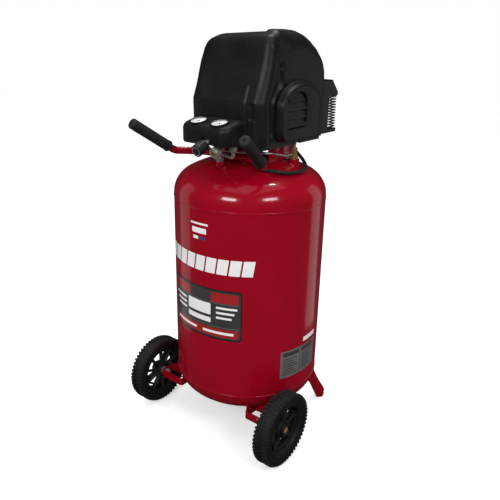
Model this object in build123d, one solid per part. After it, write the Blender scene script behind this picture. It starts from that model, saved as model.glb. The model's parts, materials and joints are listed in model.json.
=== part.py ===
from build123d import *
import math
import os

# Portable vertical air compressor. Millimetres, +Z up, the control console faces -Y and +X is the
# right-hand side of somebody who faces the console. The floor is z = 0 and the tank axis is x = 0.

# ---- Driving dimensions -------------------------------------------------------------------------
TANK_Y = 8.4                 # tank axis behind the origin, so that the origin is centred in depth
TANK_R = 203.0               # 16 inch receiver
TANK_WALL = 2.5
SHELL_Z0 = 164.0             # lower and upper edges of the straight shell
SHELL_Z1 = 674.0
HEAD_LOW = (385.0, 64.0)     # crown and knuckle radii of the two dished heads
HEAD_TOP = (365.0, 69.0)
SEAM_R = 1.6                 # weld beads stand this far out of the shell
SEAM_INSET = 6.0

INLET = (100.0, 53.0)        # boss for the check valve, and the top of it
INLET_Z = 768.0
OUTLET = (-15.0, -104.0)     # boss for the riser to the manifold
OUTLET_Z = 768.0
RISER_TOP = (54.0, -138.0)    # where the riser meets the manifold

WHEEL_R = 100.0
WHEEL_W = 44.0
WHEEL_X = 228.4
WHEEL_Y = -140.7
RIM_R = 68.0
AXLE_R = 6.35
STRAP_T = 4.0                # wheel bracket strap
STRAP_X = (118.5, 203.0)
STRAP_Y = (-157.0, -107.0)
STRAP_Z = (89.0, 111.0)

FOOT_ANGLE = 48.0            # rear feet stand in vertical planes, measured from +X
FOOT_DEPTH = 12.0

HANDLE_R = 9.5
GRIP_R = 13.8
GRIP_INNER = (148.4, -152.8, 794.1)
GRIP_OUTER = (175.8, -250.9, 861.0)
HANDLE_REAR = (98.0, -75.0, 778.5)

SADDLE_X = 80.0
SADDLE_Y = (-30.0, 84.0)
SADDLE_TOP = 806.0
SADDLE_T = 3.0
ISOLATOR_H = 12.0
PUMP_Y = 27.0                # shaft line
PUMP_Z = 885.0
SHAFT_R = 8.0
MOTOR_R = 54.0
CRANK_THROW = 8.0
CRANK_X = -57.0
BORE_R = 27.0
CYL_TOP = 994.0

HOOD_X = 113.0               # half width of the shroud
HOOD_WALL = 3.0
HOOD_BOTTOM = 816.0
POD_X = 136.0                # outer face of the intake pod on the right side
CAGE_X = 108.0               # half width of the rear exhaust cage
CAGE_Z = (819.0, 959.0)
CAGE_Y = 241.0

CONSOLE_X = 74.0
CONSOLE_Y = (-190.0, -123.0)
CONSOLE_BOTTOM = 821.0
CONSOLE_SLOPE = 14.0
CONSOLE_FRONT_TOP = 864.0
GAUGE_X = 32.6
GAUGE_Y = -163.4
GAUGE_R = 22.3
KNOB_TILT = 23.0             # knob and coupler point this far below the horizontal
KNOB_ROOT = (13.5, -190.4, 826.5)
KNOB_R = 14.8
KNOB_LENGTH = 30.0
COUPLER_ROOT = (35.0, -160.0, 816.0)
VALVE = (15.0, -148.0)       # safety valve
GLAND = (-48.0, -146.0)      # inlet of the mains cord
LEAD_R = 4.6                 # motor lead


# ---- Small helpers ------------------------------------------------------------------------------
def save(node, *solids):
    """Shift the solids from the tank axis to the part's origin and write them as one node."""
    moved = [Pos(0, TANK_Y, 0) * solid for solid in solids]
    shape = moved[0] if len(moved) == 1 else Compound([part.solid() for part in moved])
    export_step(shape, f"parts/{node}.step")


def box(x, y, z):
    """A box from three (low, high) pairs."""
    centre = ((x[0] + x[1]) / 2, (y[0] + y[1]) / 2, (z[0] + z[1]) / 2)
    return Pos(*centre) * Box(x[1] - x[0], y[1] - y[0], z[1] - z[0])


def bar(start, end, radius):
    """A round bar between two points."""
    axis = Vector(*end) - Vector(*start)
    plane = Plane(origin=start, z_dir=axis)
    return plane * Cylinder(radius, axis.length, align=(Align.CENTER, Align.CENTER, Align.MIN))


def pipe(start, end, outer, inner):
    return bar(start, end, outer) - bar(start, end, inner)


def hexagon(start, end, across_flats):
    """A hexagonal bar between two points."""
    axis = Vector(*end) - Vector(*start)
    profile = RegularPolygon(across_flats / 2, 6, major_radius=False)
    return Plane(origin=start, z_dir=axis) * extrude(profile, axis.length)


def mirror_x(shape):
    return mirror(shape, about=Plane.YZ)


def along(start, direction, distance):
    """The point at a distance from the start along a direction."""
    length = math.sqrt(sum(d * d for d in direction))
    return tuple(s + d * distance / length for s, d in zip(start, direction))


def swept_tube(points, radii, outer, inner=0.0):
    """A tube along straight runs joined by tangent arcs."""
    path = FilletPolyline(*points, radius=radii)
    start = Plane(origin=path @ 0, z_dir=path % 0)
    tube = sweep(start * Circle(outer), path=path)
    if inner:
        tube -= sweep(start * Circle(inner), path=path)
    return tube


def head_depth(head):
    """Depth of a dished head from its crown and knuckle radii."""
    crown, knuckle = head
    return crown - math.sqrt((crown - knuckle) ** 2 - (TANK_R - knuckle) ** 2)


def dome_z(radius):
    """Height of the upper head's crown at a distance from the tank axis."""
    crown = HEAD_TOP[0]
    return SHELL_Z1 + head_depth(HEAD_TOP) - crown + math.sqrt(crown ** 2 - radius ** 2)


def head_points(head, edge_z, up, grow):
    """Middle of the knuckle, joint, middle of the crown and pole of a head's outline."""
    crown, knuckle = head
    tangent = math.asin((TANK_R - knuckle) / (crown - knuckle))
    centre_z = edge_z + up * (head_depth(head) - crown)
    half_knuckle = (math.pi / 2 + tangent) / 2
    points = []
    for angle in (half_knuckle, tangent):
        radius = knuckle + grow
        x = TANK_R - knuckle + radius * math.sin(angle)
        points.append((x, edge_z + up * radius * math.cos(angle)))
    for angle in (tangent / 2, 0.0):
        radius = crown + grow
        points.append((radius * math.sin(angle), centre_z + up * radius * math.cos(angle)))
    return points


def vessel(grow=0.0):
    """The tank's outer envelope as one solid, grown by a margin."""
    radius = TANK_R + grow
    low = head_points(HEAD_LOW, SHELL_Z0, -1, grow)
    high = head_points(HEAD_TOP, SHELL_Z1, 1, grow)
    with BuildSketch(Plane.XZ) as half:
        with BuildLine():
            ThreePointArc(low[3], low[2], low[1])
            ThreePointArc(low[1], low[0], (radius, SHELL_Z0))
            Line((radius, SHELL_Z0), (radius, SHELL_Z1))
            ThreePointArc((radius, SHELL_Z1), high[0], high[1])
            ThreePointArc(high[1], high[2], high[3])
            Line(high[3], low[3])
        make_face()
    return revolve(half.sketch, axis=Axis.Z)


# ---- Receiver, wheels, feet ---------------------------------------------------------------------
def tank():
    """Hollow receiver with weld beads, the inlet and outlet bosses and the drain boss."""
    body = vessel()
    for height in (SHELL_Z0 - SEAM_INSET, SHELL_Z1 - SEAM_INSET):
        body += Pos(0, 0, height) * Torus(TANK_R - 0.4, SEAM_R)
    body += bar((*INLET, 745), (*INLET, INLET_Z), 15)
    body += bar((*OUTLET, 742), (*OUTLET, OUTLET_Z), 11)
    body += bar((0, 0, 62), (0, 0, 80), 15)
    body -= vessel(-TANK_WALL)
    body -= bar((*INLET, 735), (*INLET, 790), 8)
    body -= bar((*OUTLET, 735), (*OUTLET, 790), 6)
    body -= bar((0, 0, 50), (0, 0, 90), 7)
    return body


def wheel_bracket():
    """Strap bent round to a box, welded under the tank, with the axle bolt in its outer leg."""
    outer = box(STRAP_X, STRAP_Y, STRAP_Z)
    outer = fillet(outer.edges().filter_by(Axis.Z), 7)
    inner_x = (STRAP_X[0] + STRAP_T, STRAP_X[1] - STRAP_T)
    inner_y = (STRAP_Y[0] + STRAP_T, STRAP_Y[1] - STRAP_T)
    inner = box(inner_x, inner_y, (STRAP_Z[0] - 1, STRAP_Z[1] + 1))
    inner = fillet(inner.edges().filter_by(Axis.Z), 3)
    strap = outer - inner
    gusset_x = (STRAP_X[0], STRAP_X[0] + STRAP_T)
    strap += box(gusset_x, (STRAP_Y[0] + 7, STRAP_Y[1] - 7), (STRAP_Z[1] - 4, 142))
    rear = make_face(Polyline((128, 105), (193, 105), (193, 111), (150, 131), (128, 142), close=True))
    strap += Pos(0, STRAP_Y[1], 0) * (Plane.XZ * extrude(rear, STRAP_T))
    strap -= bar((160, STRAP_Y[0] - 1, 103), (160, STRAP_Y[0] + 6, 103), 3)
    strap -= bar((190, WHEEL_Y, WHEEL_R), (210, WHEEL_Y, WHEEL_R), AXLE_R)
    return strap - vessel()


def rear_foot():
    """Pressed channel in a radial plane, flat where it meets the floor."""
    outline = [
        (150, 112), (200, 57), (222, 9), (228, 0), (243, 0), (249, 8),
        (249, 30), (233, 57), (227, 68), (212, 100), (196, 150),
    ]
    side = Plane(origin=(0, 0, 0), x_dir=(1, 0, 0), z_dir=(0, -1, 0))
    face = make_face(Polyline(*outline, close=True))
    plate = Pos(0, FOOT_DEPTH / 2, 0) * (side * extrude(face, FOOT_DEPTH))
    pocket = offset(face, amount=-3.5)
    plate -= Pos(0, FOOT_DEPTH / 2 + 3, 0) * (side * extrude(pocket, FOOT_DEPTH))
    for shift in (-4, 4):
        rib = bar((208 + shift, -FOOT_DEPTH / 2 + 3, 78), (236 + shift, -FOOT_DEPTH / 2 + 3, 14), 1.6)
        plate += rib
    return Rot(0, 0, FOOT_ANGLE) * plate - vessel()


def tyre():
    """Semi-solid tyre on +X, with a ring of tread blocks on each shoulder."""
    half = WHEEL_W / 2
    outline = [
        (RIM_R, -half + 5), (WHEEL_R - 16, -half), (WHEEL_R - 5, -half + 4), (WHEEL_R, -half + 13),
        (WHEEL_R, half - 13), (WHEEL_R - 5, half - 4), (WHEEL_R - 16, half), (RIM_R, half - 5),
    ]
    face = make_face(Polyline(*outline, close=True))
    body = revolve(Plane.XZ * face, axis=Axis.Z)
    grooves = 36
    cutter = Pos(WHEEL_R - 1, 0, half - 5) * Box(9, 3.4, 14)
    other = Pos(WHEEL_R - 1, 0, -half + 5) * Box(9, 3.4, 14)
    cuts = []
    for index in range(grooves):
        cuts.append(Rot(0, 0, index * 360 / grooves) * cutter)
        cuts.append(Rot(0, 0, (index + 0.5) * 360 / grooves) * other)
    body -= cuts
    return Pos(WHEEL_X, WHEEL_Y, WHEEL_R) * (Rot(0, 90, 0) * body)


def rim():
    """Moulded rim on +X: barrel, web with kidney pockets, and a long hub."""
    half = WHEEL_W / 2
    barrel = Cylinder(RIM_R, WHEEL_W - 10) - Cylinder(RIM_R - 5, WHEEL_W)
    web = Pos(0, 0, 4) * Cylinder(RIM_R - 4, 6)
    hub = Pos(0, 0, 2) * Cylinder(17, WHEEL_W - 8)
    wheel = barrel + web + hub
    pockets = 5
    for index in range(pockets):
        ring_cut = Pos(0, 0, 4) * (Cylinder(52, 8) - Cylinder(28, 10))
        wedge = Pos(40, 0, 4) * Box(50, 34, 10)
        wheel -= Rot(0, 0, (index + 0.5) * 360 / pockets) * (ring_cut & wedge)
    for index in range(2 * pockets):
        rib = Pos(39, 0, -6.5) * Box(50, 3, 15)
        wheel += Rot(0, 0, index * 180 / pockets) * rib
    wheel -= Pos(0, 0, half - 5) * Cylinder(12, 14)
    wheel -= Cylinder(AXLE_R + 0.05, WHEEL_W * 2)
    return Pos(WHEEL_X, WHEEL_Y, WHEEL_R) * (Rot(0, 90, 0) * wheel)


def axle_bolt():
    """Shoulder bolt whose head sits in the hub's counterbore."""
    head_x = WHEEL_X + WHEEL_W / 2 - 11.8
    shank = bar((STRAP_X[0] + 78, WHEEL_Y, WHEEL_R), (head_x, WHEEL_Y, WHEEL_R), AXLE_R)
    shank += bar((STRAP_X[1] - 18, WHEEL_Y, WHEEL_R), (STRAP_X[1] - 4, WHEEL_Y, WHEEL_R), 4.8)
    head = hexagon((head_x, WHEEL_Y, WHEEL_R), (head_x + 6, WHEEL_Y, WHEEL_R), 16)
    return shank + head


def axle_nut():
    nut = hexagon((STRAP_X[1] - 13, WHEEL_Y, WHEEL_R), (STRAP_X[1] - 5, WHEEL_Y, WHEEL_R), 17)
    return nut - bar((STRAP_X[1] - 20, WHEEL_Y, WHEEL_R), (STRAP_X[1], WHEEL_Y, WHEEL_R), 6.4)


def axle_spacer():
    x0 = STRAP_X[1]
    x1 = WHEEL_X - 16.2
    return pipe((x0, WHEEL_Y, WHEEL_R), (x1, WHEEL_Y, WHEEL_R), 11, AXLE_R)


def drain_boss():
    """Brass body of the drain cock, screwed into the lowest point of the tank."""
    body = hexagon((0, 0, 50), (0, 0, 61.8), 17)
    body += bar((0, 0, 40), (0, 0, 50), 6)
    body += bar((0, 0, 61.8), (0, 0, 74), 6.8)
    body += bar((0, 0, 45), (0, -13, 45), 5)
    return body - bar((0, 0, 38), (0, 0, 76), 2.5)


def drain_handle():
    """Wing on the drain cock's spindle."""
    spindle = bar((0, -13.2, 45), (0, -20, 45), 3.5)
    wing = box((-14, 14), (-24, -20), (41.5, 48.5))
    wing = fillet(wing.edges().filter_by(Axis.Y), 3)
    return spindle + wing


# ---- Handle -------------------------------------------------------------------------------------
def grip_direction():
    return tuple(outer - inner for inner, outer in zip(GRIP_INNER, GRIP_OUTER))


def handle_points():
    """Centre line of the handle bar from the left grip's outer end to the right one."""
    direction = grip_direction()
    right = [HANDLE_REAR, along(GRIP_INNER, direction, -20), along(GRIP_OUTER, direction, -4)]
    left = [(-x, y, z) for x, y, z in reversed(right)]
    return left + right


def handle_bar():
    """Bent tube with two short legs welded to the dome."""
    points = handle_points()
    radii = [28, 42, 42, 28]
    tube = swept_tube(points, radii, HANDLE_R, HANDLE_R - 2)
    hollow = swept_tube(points, radii, HANDLE_R - 1)
    y, z = HANDLE_REAR[1], HANDLE_REAR[2]
    for x in (-40, 40):
        leg = bar((x, y, 745), (x, y, z), 7)
        tube += leg - hollow - vessel()
    return tube


def grip():
    """Closed-end sleeve on +X with a small hole in its end cap."""
    sleeve = bar(GRIP_INNER, GRIP_OUTER, GRIP_R)
    ends = sleeve.edges().filter_by(GeomType.CIRCLE)
    sleeve = fillet(ends, 3)
    direction = grip_direction()
    depth = math.dist(GRIP_OUTER, GRIP_INNER) - 3.9
    start = along(GRIP_INNER, direction, -2.0)
    sleeve -= bar(start, along(GRIP_INNER, direction, depth), HANDLE_R + 0.05)
    sleeve -= bar(along(GRIP_INNER, direction, depth), along(GRIP_OUTER, direction, 2), 2.5)
    return sleeve


# ---- Saddle and pump ----------------------------------------------------------------------------
ISOLATORS = [(x, y) for x in (-54.0, 54.0) for y in (-16.0, 70.0)]


def saddle():
    """Folded platform welded to the upper head; its flanges follow the dome."""
    x, y = SADDLE_X, SADDLE_Y
    outer = box((-x, x), y, (740, SADDLE_TOP))
    outer = fillet(outer.edges().filter_by(Axis.Y).group_by(Axis.Z)[-1], 5)
    inner = box((-x + SADDLE_T, x - SADDLE_T), (y[0] - 1, y[1] + 1), (730, SADDLE_TOP - SADDLE_T))
    plate = outer - inner
    for side in (-1, 1):
        plate -= bar((side * (x + 1.2), y[0] - 1, 786), (side * (x + 1.2), y[1] + 1, 786), 2.2)
    for px, py in ISOLATORS:
        plate -= bar((px, py, 790), (px, py, 820), 4.2)
    plate -= box((-30, 30), (0, 54), (790, 820))
    return plate - vessel()


def isolator(x, y):
    low = SADDLE_TOP
    body = bar((x, y, low), (x, y, low + ISOLATOR_H), 13)
    body -= Pos(x, y, low + ISOLATOR_H / 2) * Torus(14.5, 3.2)
    return body - bar((x, y, low - 1), (x, y, low + 20), 4)


def isolator_bolt(x, y):
    top = SADDLE_TOP + ISOLATOR_H + 4
    shank = bar((x, y, SADDLE_TOP - 12), (x, y, top), 3.9)
    nut = hexagon((x, y, SADDLE_TOP - 9), (x, y, SADDLE_TOP - SADDLE_T), 13)
    return shank + hexagon((x, y, top), (x, y, top + 5), 13) + nut


def saddle_bolt(x, y):
    """Zinc-plated hexagon screw on the platform's edge."""
    head = hexagon((x, y, SADDLE_TOP), (x, y, SADDLE_TOP + 5), 11)
    return head + bar((x, y, SADDLE_TOP), (x, y, SADDLE_TOP + 1.2), 6.5)


def pump_base():
    z0 = SADDLE_TOP + ISOLATOR_H
    plate = box((-78, 82), (-30, 84), (z0, z0 + 4))
    plate = fillet(plate.edges().filter_by(Axis.Z), 10)
    for px, py in ISOLATORS:
        plate -= bar((px, py, z0 - 1), (px, py, z0 + 8), 4)
    return plate


def motor_case():
    """Tubular motor housing on two cast feet."""
    z0 = SADDLE_TOP + ISOLATOR_H + 4
    case = bar((-10, PUMP_Y, PUMP_Z), (72, PUMP_Y, PUMP_Z), MOTOR_R)
    for x in (-8, 62):
        case += box((x, x + 8), (PUMP_Y - 34, PUMP_Y + 34), (z0, PUMP_Z))
    return case - bar((-17, PUMP_Y, PUMP_Z), (79, PUMP_Y, PUMP_Z), MOTOR_R - 3)


def end_bell(x0, x1):
    disc = bar((x0, PUMP_Y, PUMP_Z), (x1, PUMP_Y, PUMP_Z), MOTOR_R)
    disc -= bar((x0 - 1, PUMP_Y, PUMP_Z), (x1 + 1, PUMP_Y, PUMP_Z), 16)
    for index in range(8):
        angle = math.radians(index * 45 + 22.5)
        y = PUMP_Y + 36 * math.cos(angle)
        z = PUMP_Z + 36 * math.sin(angle)
        disc -= bar((x0 - 1, y, z), (x1 + 1, y, z), 9)
    return disc


def bearing(x0, x1):
    return pipe((x0, PUMP_Y, PUMP_Z), (x1, PUMP_Y, PUMP_Z), 16, SHAFT_R + 0.05)


def stator():
    """Laminated core with the end turns of its windings."""
    core = pipe((2, PUMP_Y, PUMP_Z), (60, PUMP_Y, PUMP_Z), MOTOR_R - 3, 31)
    return core + pipe((-7, PUMP_Y, PUMP_Z), (69, PUMP_Y, PUMP_Z), 47, 33)


def rotor_shaft():
    """Motor shaft with its rotor core pressed on."""
    shaft = bar((-66, PUMP_Y, PUMP_Z), (112, PUMP_Y, PUMP_Z), SHAFT_R)
    return shaft + bar((2, PUMP_Y, PUMP_Z), (60, PUMP_Y, PUMP_Z), 30.4)


def eccentric():
    """Crank disc with its counterweight; the throw points straight up at rest."""
    z = PUMP_Z + CRANK_THROW
    disc = bar((CRANK_X - 7, PUMP_Y, z), (CRANK_X + 7, PUMP_Y, z), 21)
    weight = bar((CRANK_X + 8, PUMP_Y, PUMP_Z), (CRANK_X + 16, PUMP_Y, PUMP_Z), 34)
    weight -= box((CRANK_X, CRANK_X + 20), (PUMP_Y - 40, PUMP_Y + 40), (PUMP_Z + 10, PUMP_Z + 50))
    boss = bar((CRANK_X + 6, PUMP_Y, PUMP_Z), (CRANK_X + 16, PUMP_Y, PUMP_Z), 14)
    solid = disc + weight + boss
    return solid - bar((-80, PUMP_Y, PUMP_Z), (-20, PUMP_Y, PUMP_Z), SHAFT_R)


def cooling_fan():
    """Radial fan on the shaft's right-hand end."""
    hub = bar((92, PUMP_Y, PUMP_Z), (111, PUMP_Y, PUMP_Z), 16)
    fan = hub + bar((92, PUMP_Y, PUMP_Z), (95, PUMP_Y, PUMP_Z), 54)
    blades = 9
    for index in range(blades):
        blade = Pos(101, 33, 0) * Box(15, 40, 2.4)
        fan += Pos(0, PUMP_Y, PUMP_Z) * (Rot(index * 360 / blades, 0, 0) * blade)
    return fan - bar((80, PUMP_Y, PUMP_Z), (120, PUMP_Y, PUMP_Z), SHAFT_R)


def crankcase():
    """Open-sided casting that carries the cylinder."""
    z0 = SADDLE_TOP + ISOLATOR_H + 4
    x0, x1 = CRANK_X - 18, CRANK_X + 22
    case = bar((x0, PUMP_Y, PUMP_Z), (x1, PUMP_Y, PUMP_Z), 48)
    case += box((x0, x1), (PUMP_Y - 34, PUMP_Y + 34), (z0, PUMP_Z))
    case += box((x0, x1 + 8), (PUMP_Y - 36, PUMP_Y + 36), (PUMP_Z + 30, 936))
    case -= bar((x0 + 5, PUMP_Y, PUMP_Z), (x1 - 5, PUMP_Y, PUMP_Z), 42)
    case -= bar((x1 - 6, PUMP_Y, PUMP_Z), (x1 + 1, PUMP_Y, PUMP_Z), 17)
    return case - bar((CRANK_X, PUMP_Y, PUMP_Z), (CRANK_X, PUMP_Y, 940), BORE_R)


def cylinder():
    body = bar((CRANK_X, PUMP_Y, 936), (CRANK_X, PUMP_Y, CYL_TOP), 33)
    for index in range(7):
        z = 940 + index * 7.5
        body += box((CRANK_X - 36, CRANK_X + 36), (PUMP_Y - 40, PUMP_Y + 40), (z, z + 2.5))
    return body - bar((CRANK_X, PUMP_Y, 930), (CRANK_X, PUMP_Y, 1000), BORE_R)


def valve_plate():
    plate = box((CRANK_X - 36, CRANK_X + 36), (PUMP_Y - 40, PUMP_Y + 40), (CYL_TOP, CYL_TOP + 4))
    for y in (PUMP_Y - 12, PUMP_Y + 12):
        plate -= bar((CRANK_X, y, CYL_TOP - 1), (CRANK_X, y, CYL_TOP + 5), 4)
    for x, y in HEAD_BOLTS:
        plate -= bar((x, y, CYL_TOP - 1), (x, y, CYL_TOP + 5), 3.2)
    return plate


HEAD_BOLTS = [(CRANK_X + dx, PUMP_Y + dy) for dx in (-29, 29) for dy in (-33, 33)]
HEAD_TOP_Z = CYL_TOP + 24


def cylinder_head():
    """Finned head with an intake side (-Y) and a delivery side (+Y)."""
    z0 = CYL_TOP + 4
    head = box((CRANK_X - 36, CRANK_X + 36), (PUMP_Y - 40, PUMP_Y + 40), (z0, HEAD_TOP_Z - 9))
    for index in range(6):
        x = CRANK_X - 26 + index * 10
        head += box((x, x + 3), (PUMP_Y - 40, PUMP_Y + 40), (HEAD_TOP_Z - 10, HEAD_TOP_Z))
    for y in (PUMP_Y - 18, PUMP_Y + 18):
        head -= box((CRANK_X - 22, CRANK_X + 22), (y - 14, y + 14), (z0 - 1, z0 + 6))
    head -= bar((CRANK_X, PUMP_Y + 20, z0 + 5.5), (CRANK_X, PUMP_Y + 45, z0 + 5.5), 4.75)
    for x, y in HEAD_BOLTS:
        head -= bar((x, y, z0 - 1), (x, y, HEAD_TOP_Z + 1), 3.2)
        head -= bar((x, y, HEAD_TOP_Z - 9), (x, y, HEAD_TOP_Z + 1), 8)
    return head


def head_bolt(x, y):
    seat = HEAD_TOP_Z - 9
    shank = bar((x, y, CYL_TOP - 4), (x, y, seat), 3.1)
    return shank + hexagon((x, y, seat), (x, y, seat + 5), 10)


def piston():
    """Cup piston held at mid stroke."""
    body = bar((CRANK_X, PUMP_Y, 953), (CRANK_X, PUMP_Y, 984), BORE_R - 0.08)
    return body - bar((CRANK_X, PUMP_Y, 950), (CRANK_X, PUMP_Y, 979), 23.5)


def connecting_rod():
    """Rod whose big end runs on the eccentric."""
    z = PUMP_Z + CRANK_THROW
    big = pipe((CRANK_X - 6, PUMP_Y, z), (CRANK_X + 6, PUMP_Y, z), 27, 21.05)
    stem = box((CRANK_X - 4, CRANK_X + 4), (PUMP_Y - 6, PUMP_Y + 6), (z + 24, z + 70))
    small = bar((CRANK_X - 5, PUMP_Y, z + 68), (CRANK_X + 5, PUMP_Y, z + 68), 9)
    return big + stem + small


def discharge_tube():
    """Delivery tube from the head, down behind the motor to the check valve."""
    port_z = CYL_TOP + 9.5
    points = [
        (CRANK_X, PUMP_Y + 32, port_z), (CRANK_X, 102, port_z), (40, 108, 960),
        (100, 88, 868), (*INLET, 806), (*INLET, 791),
    ]
    return swept_tube(points, [24, 40, 40, 16], 4.7, 3.4)


def check_valve():
    """Brass check valve in the tank's inlet boss, with a side port."""
    x, y = INLET
    body = hexagon((x, y, INLET_Z + 0.2), (x, y, 776), 22)
    body += bar((x, y, 776), (x, y, 784), 8.5)
    body += hexagon((x, y, 784), (x, y, 796), 17)
    body += bar((x, y, 752), (x, y, INLET_Z + 0.2), 7.9)
    body += bar((x, y, 780), (x, y - 13, 780), 3.5)
    body -= bar((x, y, 790.8), (x, y, 800), 4.75)
    return body - bar((x, y, 745), (x, y, 792), 3.4)


def unloader_tube():
    """Thin tube from the check valve's side port to the pressure switch."""
    x, y = INLET
    points = [
        (x, y - 13, 780), (x, 14, 780), (99, -34, 792), (48, -106, 798),
        (-30, -134, 801), (-30, -134, 827.8),
    ]
    return swept_tube(points, [18, 30, 30, 12], 2.4)


def intake_filter():
    body = bar((CRANK_X, PUMP_Y - 40, CYL_TOP + 9), (CRANK_X, PUMP_Y - 52, CYL_TOP + 9), 5)
    return body + bar((CRANK_X, PUMP_Y - 52, CYL_TOP + 9), (CRANK_X, PUMP_Y - 80, CYL_TOP + 9), 15)


# ---- Shroud -------------------------------------------------------------------------------------
def hood_profile(inset=0.0):
    """Side view of the hood: leaning front, flat top, rear that curves down."""
    points = [
        (-121.5 + inset, HOOD_BOTTOM - 1 * (inset > 0)), (-122.5 + inset, 918),
        (-104 + inset, 962), (-82 + inset, 1044 - inset / 2), (-68 + inset, 1061 - inset),
        (-44, 1069 - inset), (60, 1071 - inset), (112 - inset / 2, 1058 - inset),
        (150 - inset, 1026 - inset / 2), (170 - inset, 985), (172 - inset, HOOD_BOTTOM - 1 * (inset > 0)),
    ]
    return make_face(Polyline(*points, close=True))


def hood_block(half_width, inset=0.0, corner=24.0):
    side = Plane(origin=(-half_width, 0, 0), x_dir=(0, 1, 0), z_dir=(1, 0, 0))
    block = side * extrude(hood_profile(inset), 2 * half_width)
    ends = block.edges().filter_by(lambda e: abs(abs(e.center().X) - half_width) < 0.01)
    upright = [e for e in ends if e.center().Z > HOOD_BOTTOM + 5]
    return chamfer(upright, corner) if corner else block


def pod_face(y0, y1, z0, z1):
    """Tombstone outline in the YZ plane."""
    radius = (y1 - y0) / 2
    centre = (y0 + y1) / 2
    spring = z1 - radius * 0.62
    side = Plane(origin=(0, 0, 0), x_dir=(0, 1, 0), z_dir=(1, 0, 0))
    with BuildSketch() as sketch:
        with BuildLine():
            Line((y0, spring), (y0, z0))
            Line((y0, z0), (y1, z0))
            Line((y1, z0), (y1, spring))
            EllipticalCenterArc((centre, spring), radius, z1 - spring, start_angle=0, arc_size=180)
        make_face()
    return side * sketch.sketch


POD_BASE_X = 122.0           # outer face of the pod's flange
POD_BASE_Y = (-64.0, 138.0)
POD_Y = (-60.0, 112.0)
POD_Z = (820.0, 966.0)
LOUVRE_Y = (-34.0, 48.0)
LOUVRE_Z = (851.0, 941.0)


def shroud_hood():
    """Main moulding: hollow hood open underneath, with openings to the pod and to the cage."""
    shell = hood_block(HOOD_X) - hood_block(HOOD_X - HOOD_WALL, HOOD_WALL, 22.5)
    shell -= box((HOOD_X - 8, HOOD_X + 2), (PUMP_Y - 60, PUMP_Y + 60), (PUMP_Z - 58, PUMP_Z + 58))
    shell -= box((-CAGE_X + 24, CAGE_X - 24), (160, 180), (828, 950))
    return shell + hood_ridge()


def side_pod():
    """Bolted-on fan cover on the right side."""
    outer = Pos(HOOD_X, 0, 0) * extrude(pod_face(*POD_Y, POD_Z[0], POD_Z[1] - 4), POD_X - HOOD_X)
    outer = chamfer(outer.faces().sort_by(Axis.X)[-1].edges(), 9)
    outer += Pos(HOOD_X, 0, 0) * extrude(pod_face(*POD_BASE_Y, *POD_Z), POD_BASE_X - HOOD_X)
    inner_face = pod_face(POD_Y[0] + 12, POD_Y[1] - 12, POD_Z[0] + 10, POD_Z[1] - 14)
    pod = outer - Pos(HOOD_X - 1, 0, 0) * extrude(inner_face, POD_X - HOOD_X - 2.5)
    y0, y1 = LOUVRE_Y
    slots = 4
    pitch = (LOUVRE_Z[1] - LOUVRE_Z[0]) / slots
    for index in range(slots):
        z = LOUVRE_Z[0] + pitch * (index + 0.5)
        pod -= box((POD_X - 5, POD_X + 1), (y0, y1), (z - 6, z + 6))
    return pod


def hood_ridge():
    """Raised band moulded on the right-hand part of the hood's top."""
    side = Plane(origin=(44, 0, 0), x_dir=(0, 1, 0), z_dir=(1, 0, 0))
    points = [(-38, 1071), (-14, 1080), (40, 1083), (92, 1073), (118, 1060), (60, 1062), (-38, 1062)]
    band = side * extrude(make_face(Polyline(*points, close=True)), 54)
    return band - hood_block(HOOD_X)


def rear_cage():
    """Exhaust cage: solid top and floor, slatted sides and back."""
    y0, y1 = 172.2, CAGE_Y
    z0, z1 = CAGE_Z
    profile = [(y0, z0), (y1, z0), (y1, z0 + 10), (y1 - 4, 915), (y1, 925), (209, z1), (y0, z1)]
    side = Plane(origin=(-CAGE_X, 0, 0), x_dir=(0, 1, 0), z_dir=(1, 0, 0))
    block = side * extrude(make_face(Polyline(*profile, close=True)), 2 * CAGE_X)
    hollow = [(y0 - 1, z0 + 5), (y1 - 8, z0 + 5), (y1 - 8, 920), (205, z1 - 6), (y0 - 1, z1 - 6)]
    inner_side = Plane(origin=(-CAGE_X + 3, 0, 0), x_dir=(0, 1, 0), z_dir=(1, 0, 0))
    block -= inner_side * extrude(make_face(Polyline(*hollow, close=True)), 2 * CAGE_X - 6)
    slats = 11
    pitch = (914.0 - 832.0) / slats
    for index in range(slats):
        z = 832.0 + pitch * index
        for side in (-1, 1):
            outer = side * (CAGE_X + 1)
            block -= box(sorted((side * 5, outer)), (y1 - 10, y1 + 1), (z, z + 3.6))
            block -= box(sorted((side * (CAGE_X - 5), outer)), (194, y1 - 9), (z, z + 3.6))
    return block


def base_pan():
    """Floor of the shroud with a window round the pump's feet."""
    pan = box((-HOOD_X + 3.3, HOOD_X - 3.3), (-112, 168), (808, 815.5))
    pan = fillet(pan.edges().filter_by(Axis.Z), 16)
    pan -= box((-88, 88), (-36, 94), (800, 820))
    pan -= bar((*INLET, 800), (*INLET, 820), 13)
    for x, y in PAN_SCREWS:
        pan -= bar((x, y, 800), (x, y, 820), 2.6)
    return pan


PAN_SCREWS = [(x, y) for x in (-60, 60) for y in (-98, 152)]


def pan_screw(x, y):
    return bar((x, y, 804.5), (x, y, 808), 5) + bar((x, y, 808), (x, y, 814), 2.5)


# ---- Console ------------------------------------------------------------------------------------
def slope_z(y):
    """Height of the console's sloping top at a depth."""
    return CONSOLE_FRONT_TOP + (y - CONSOLE_Y[0]) * math.tan(math.radians(CONSOLE_SLOPE))


def gauge_plane(x):
    """Plane on the sloping top with its normal out of the dial."""
    tilt = math.radians(CONSOLE_SLOPE)
    origin = (x, GAUGE_Y, slope_z(GAUGE_Y))
    return Plane(origin=origin, x_dir=(1, 0, 0), z_dir=(0, -math.sin(tilt), math.cos(tilt)))


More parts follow.
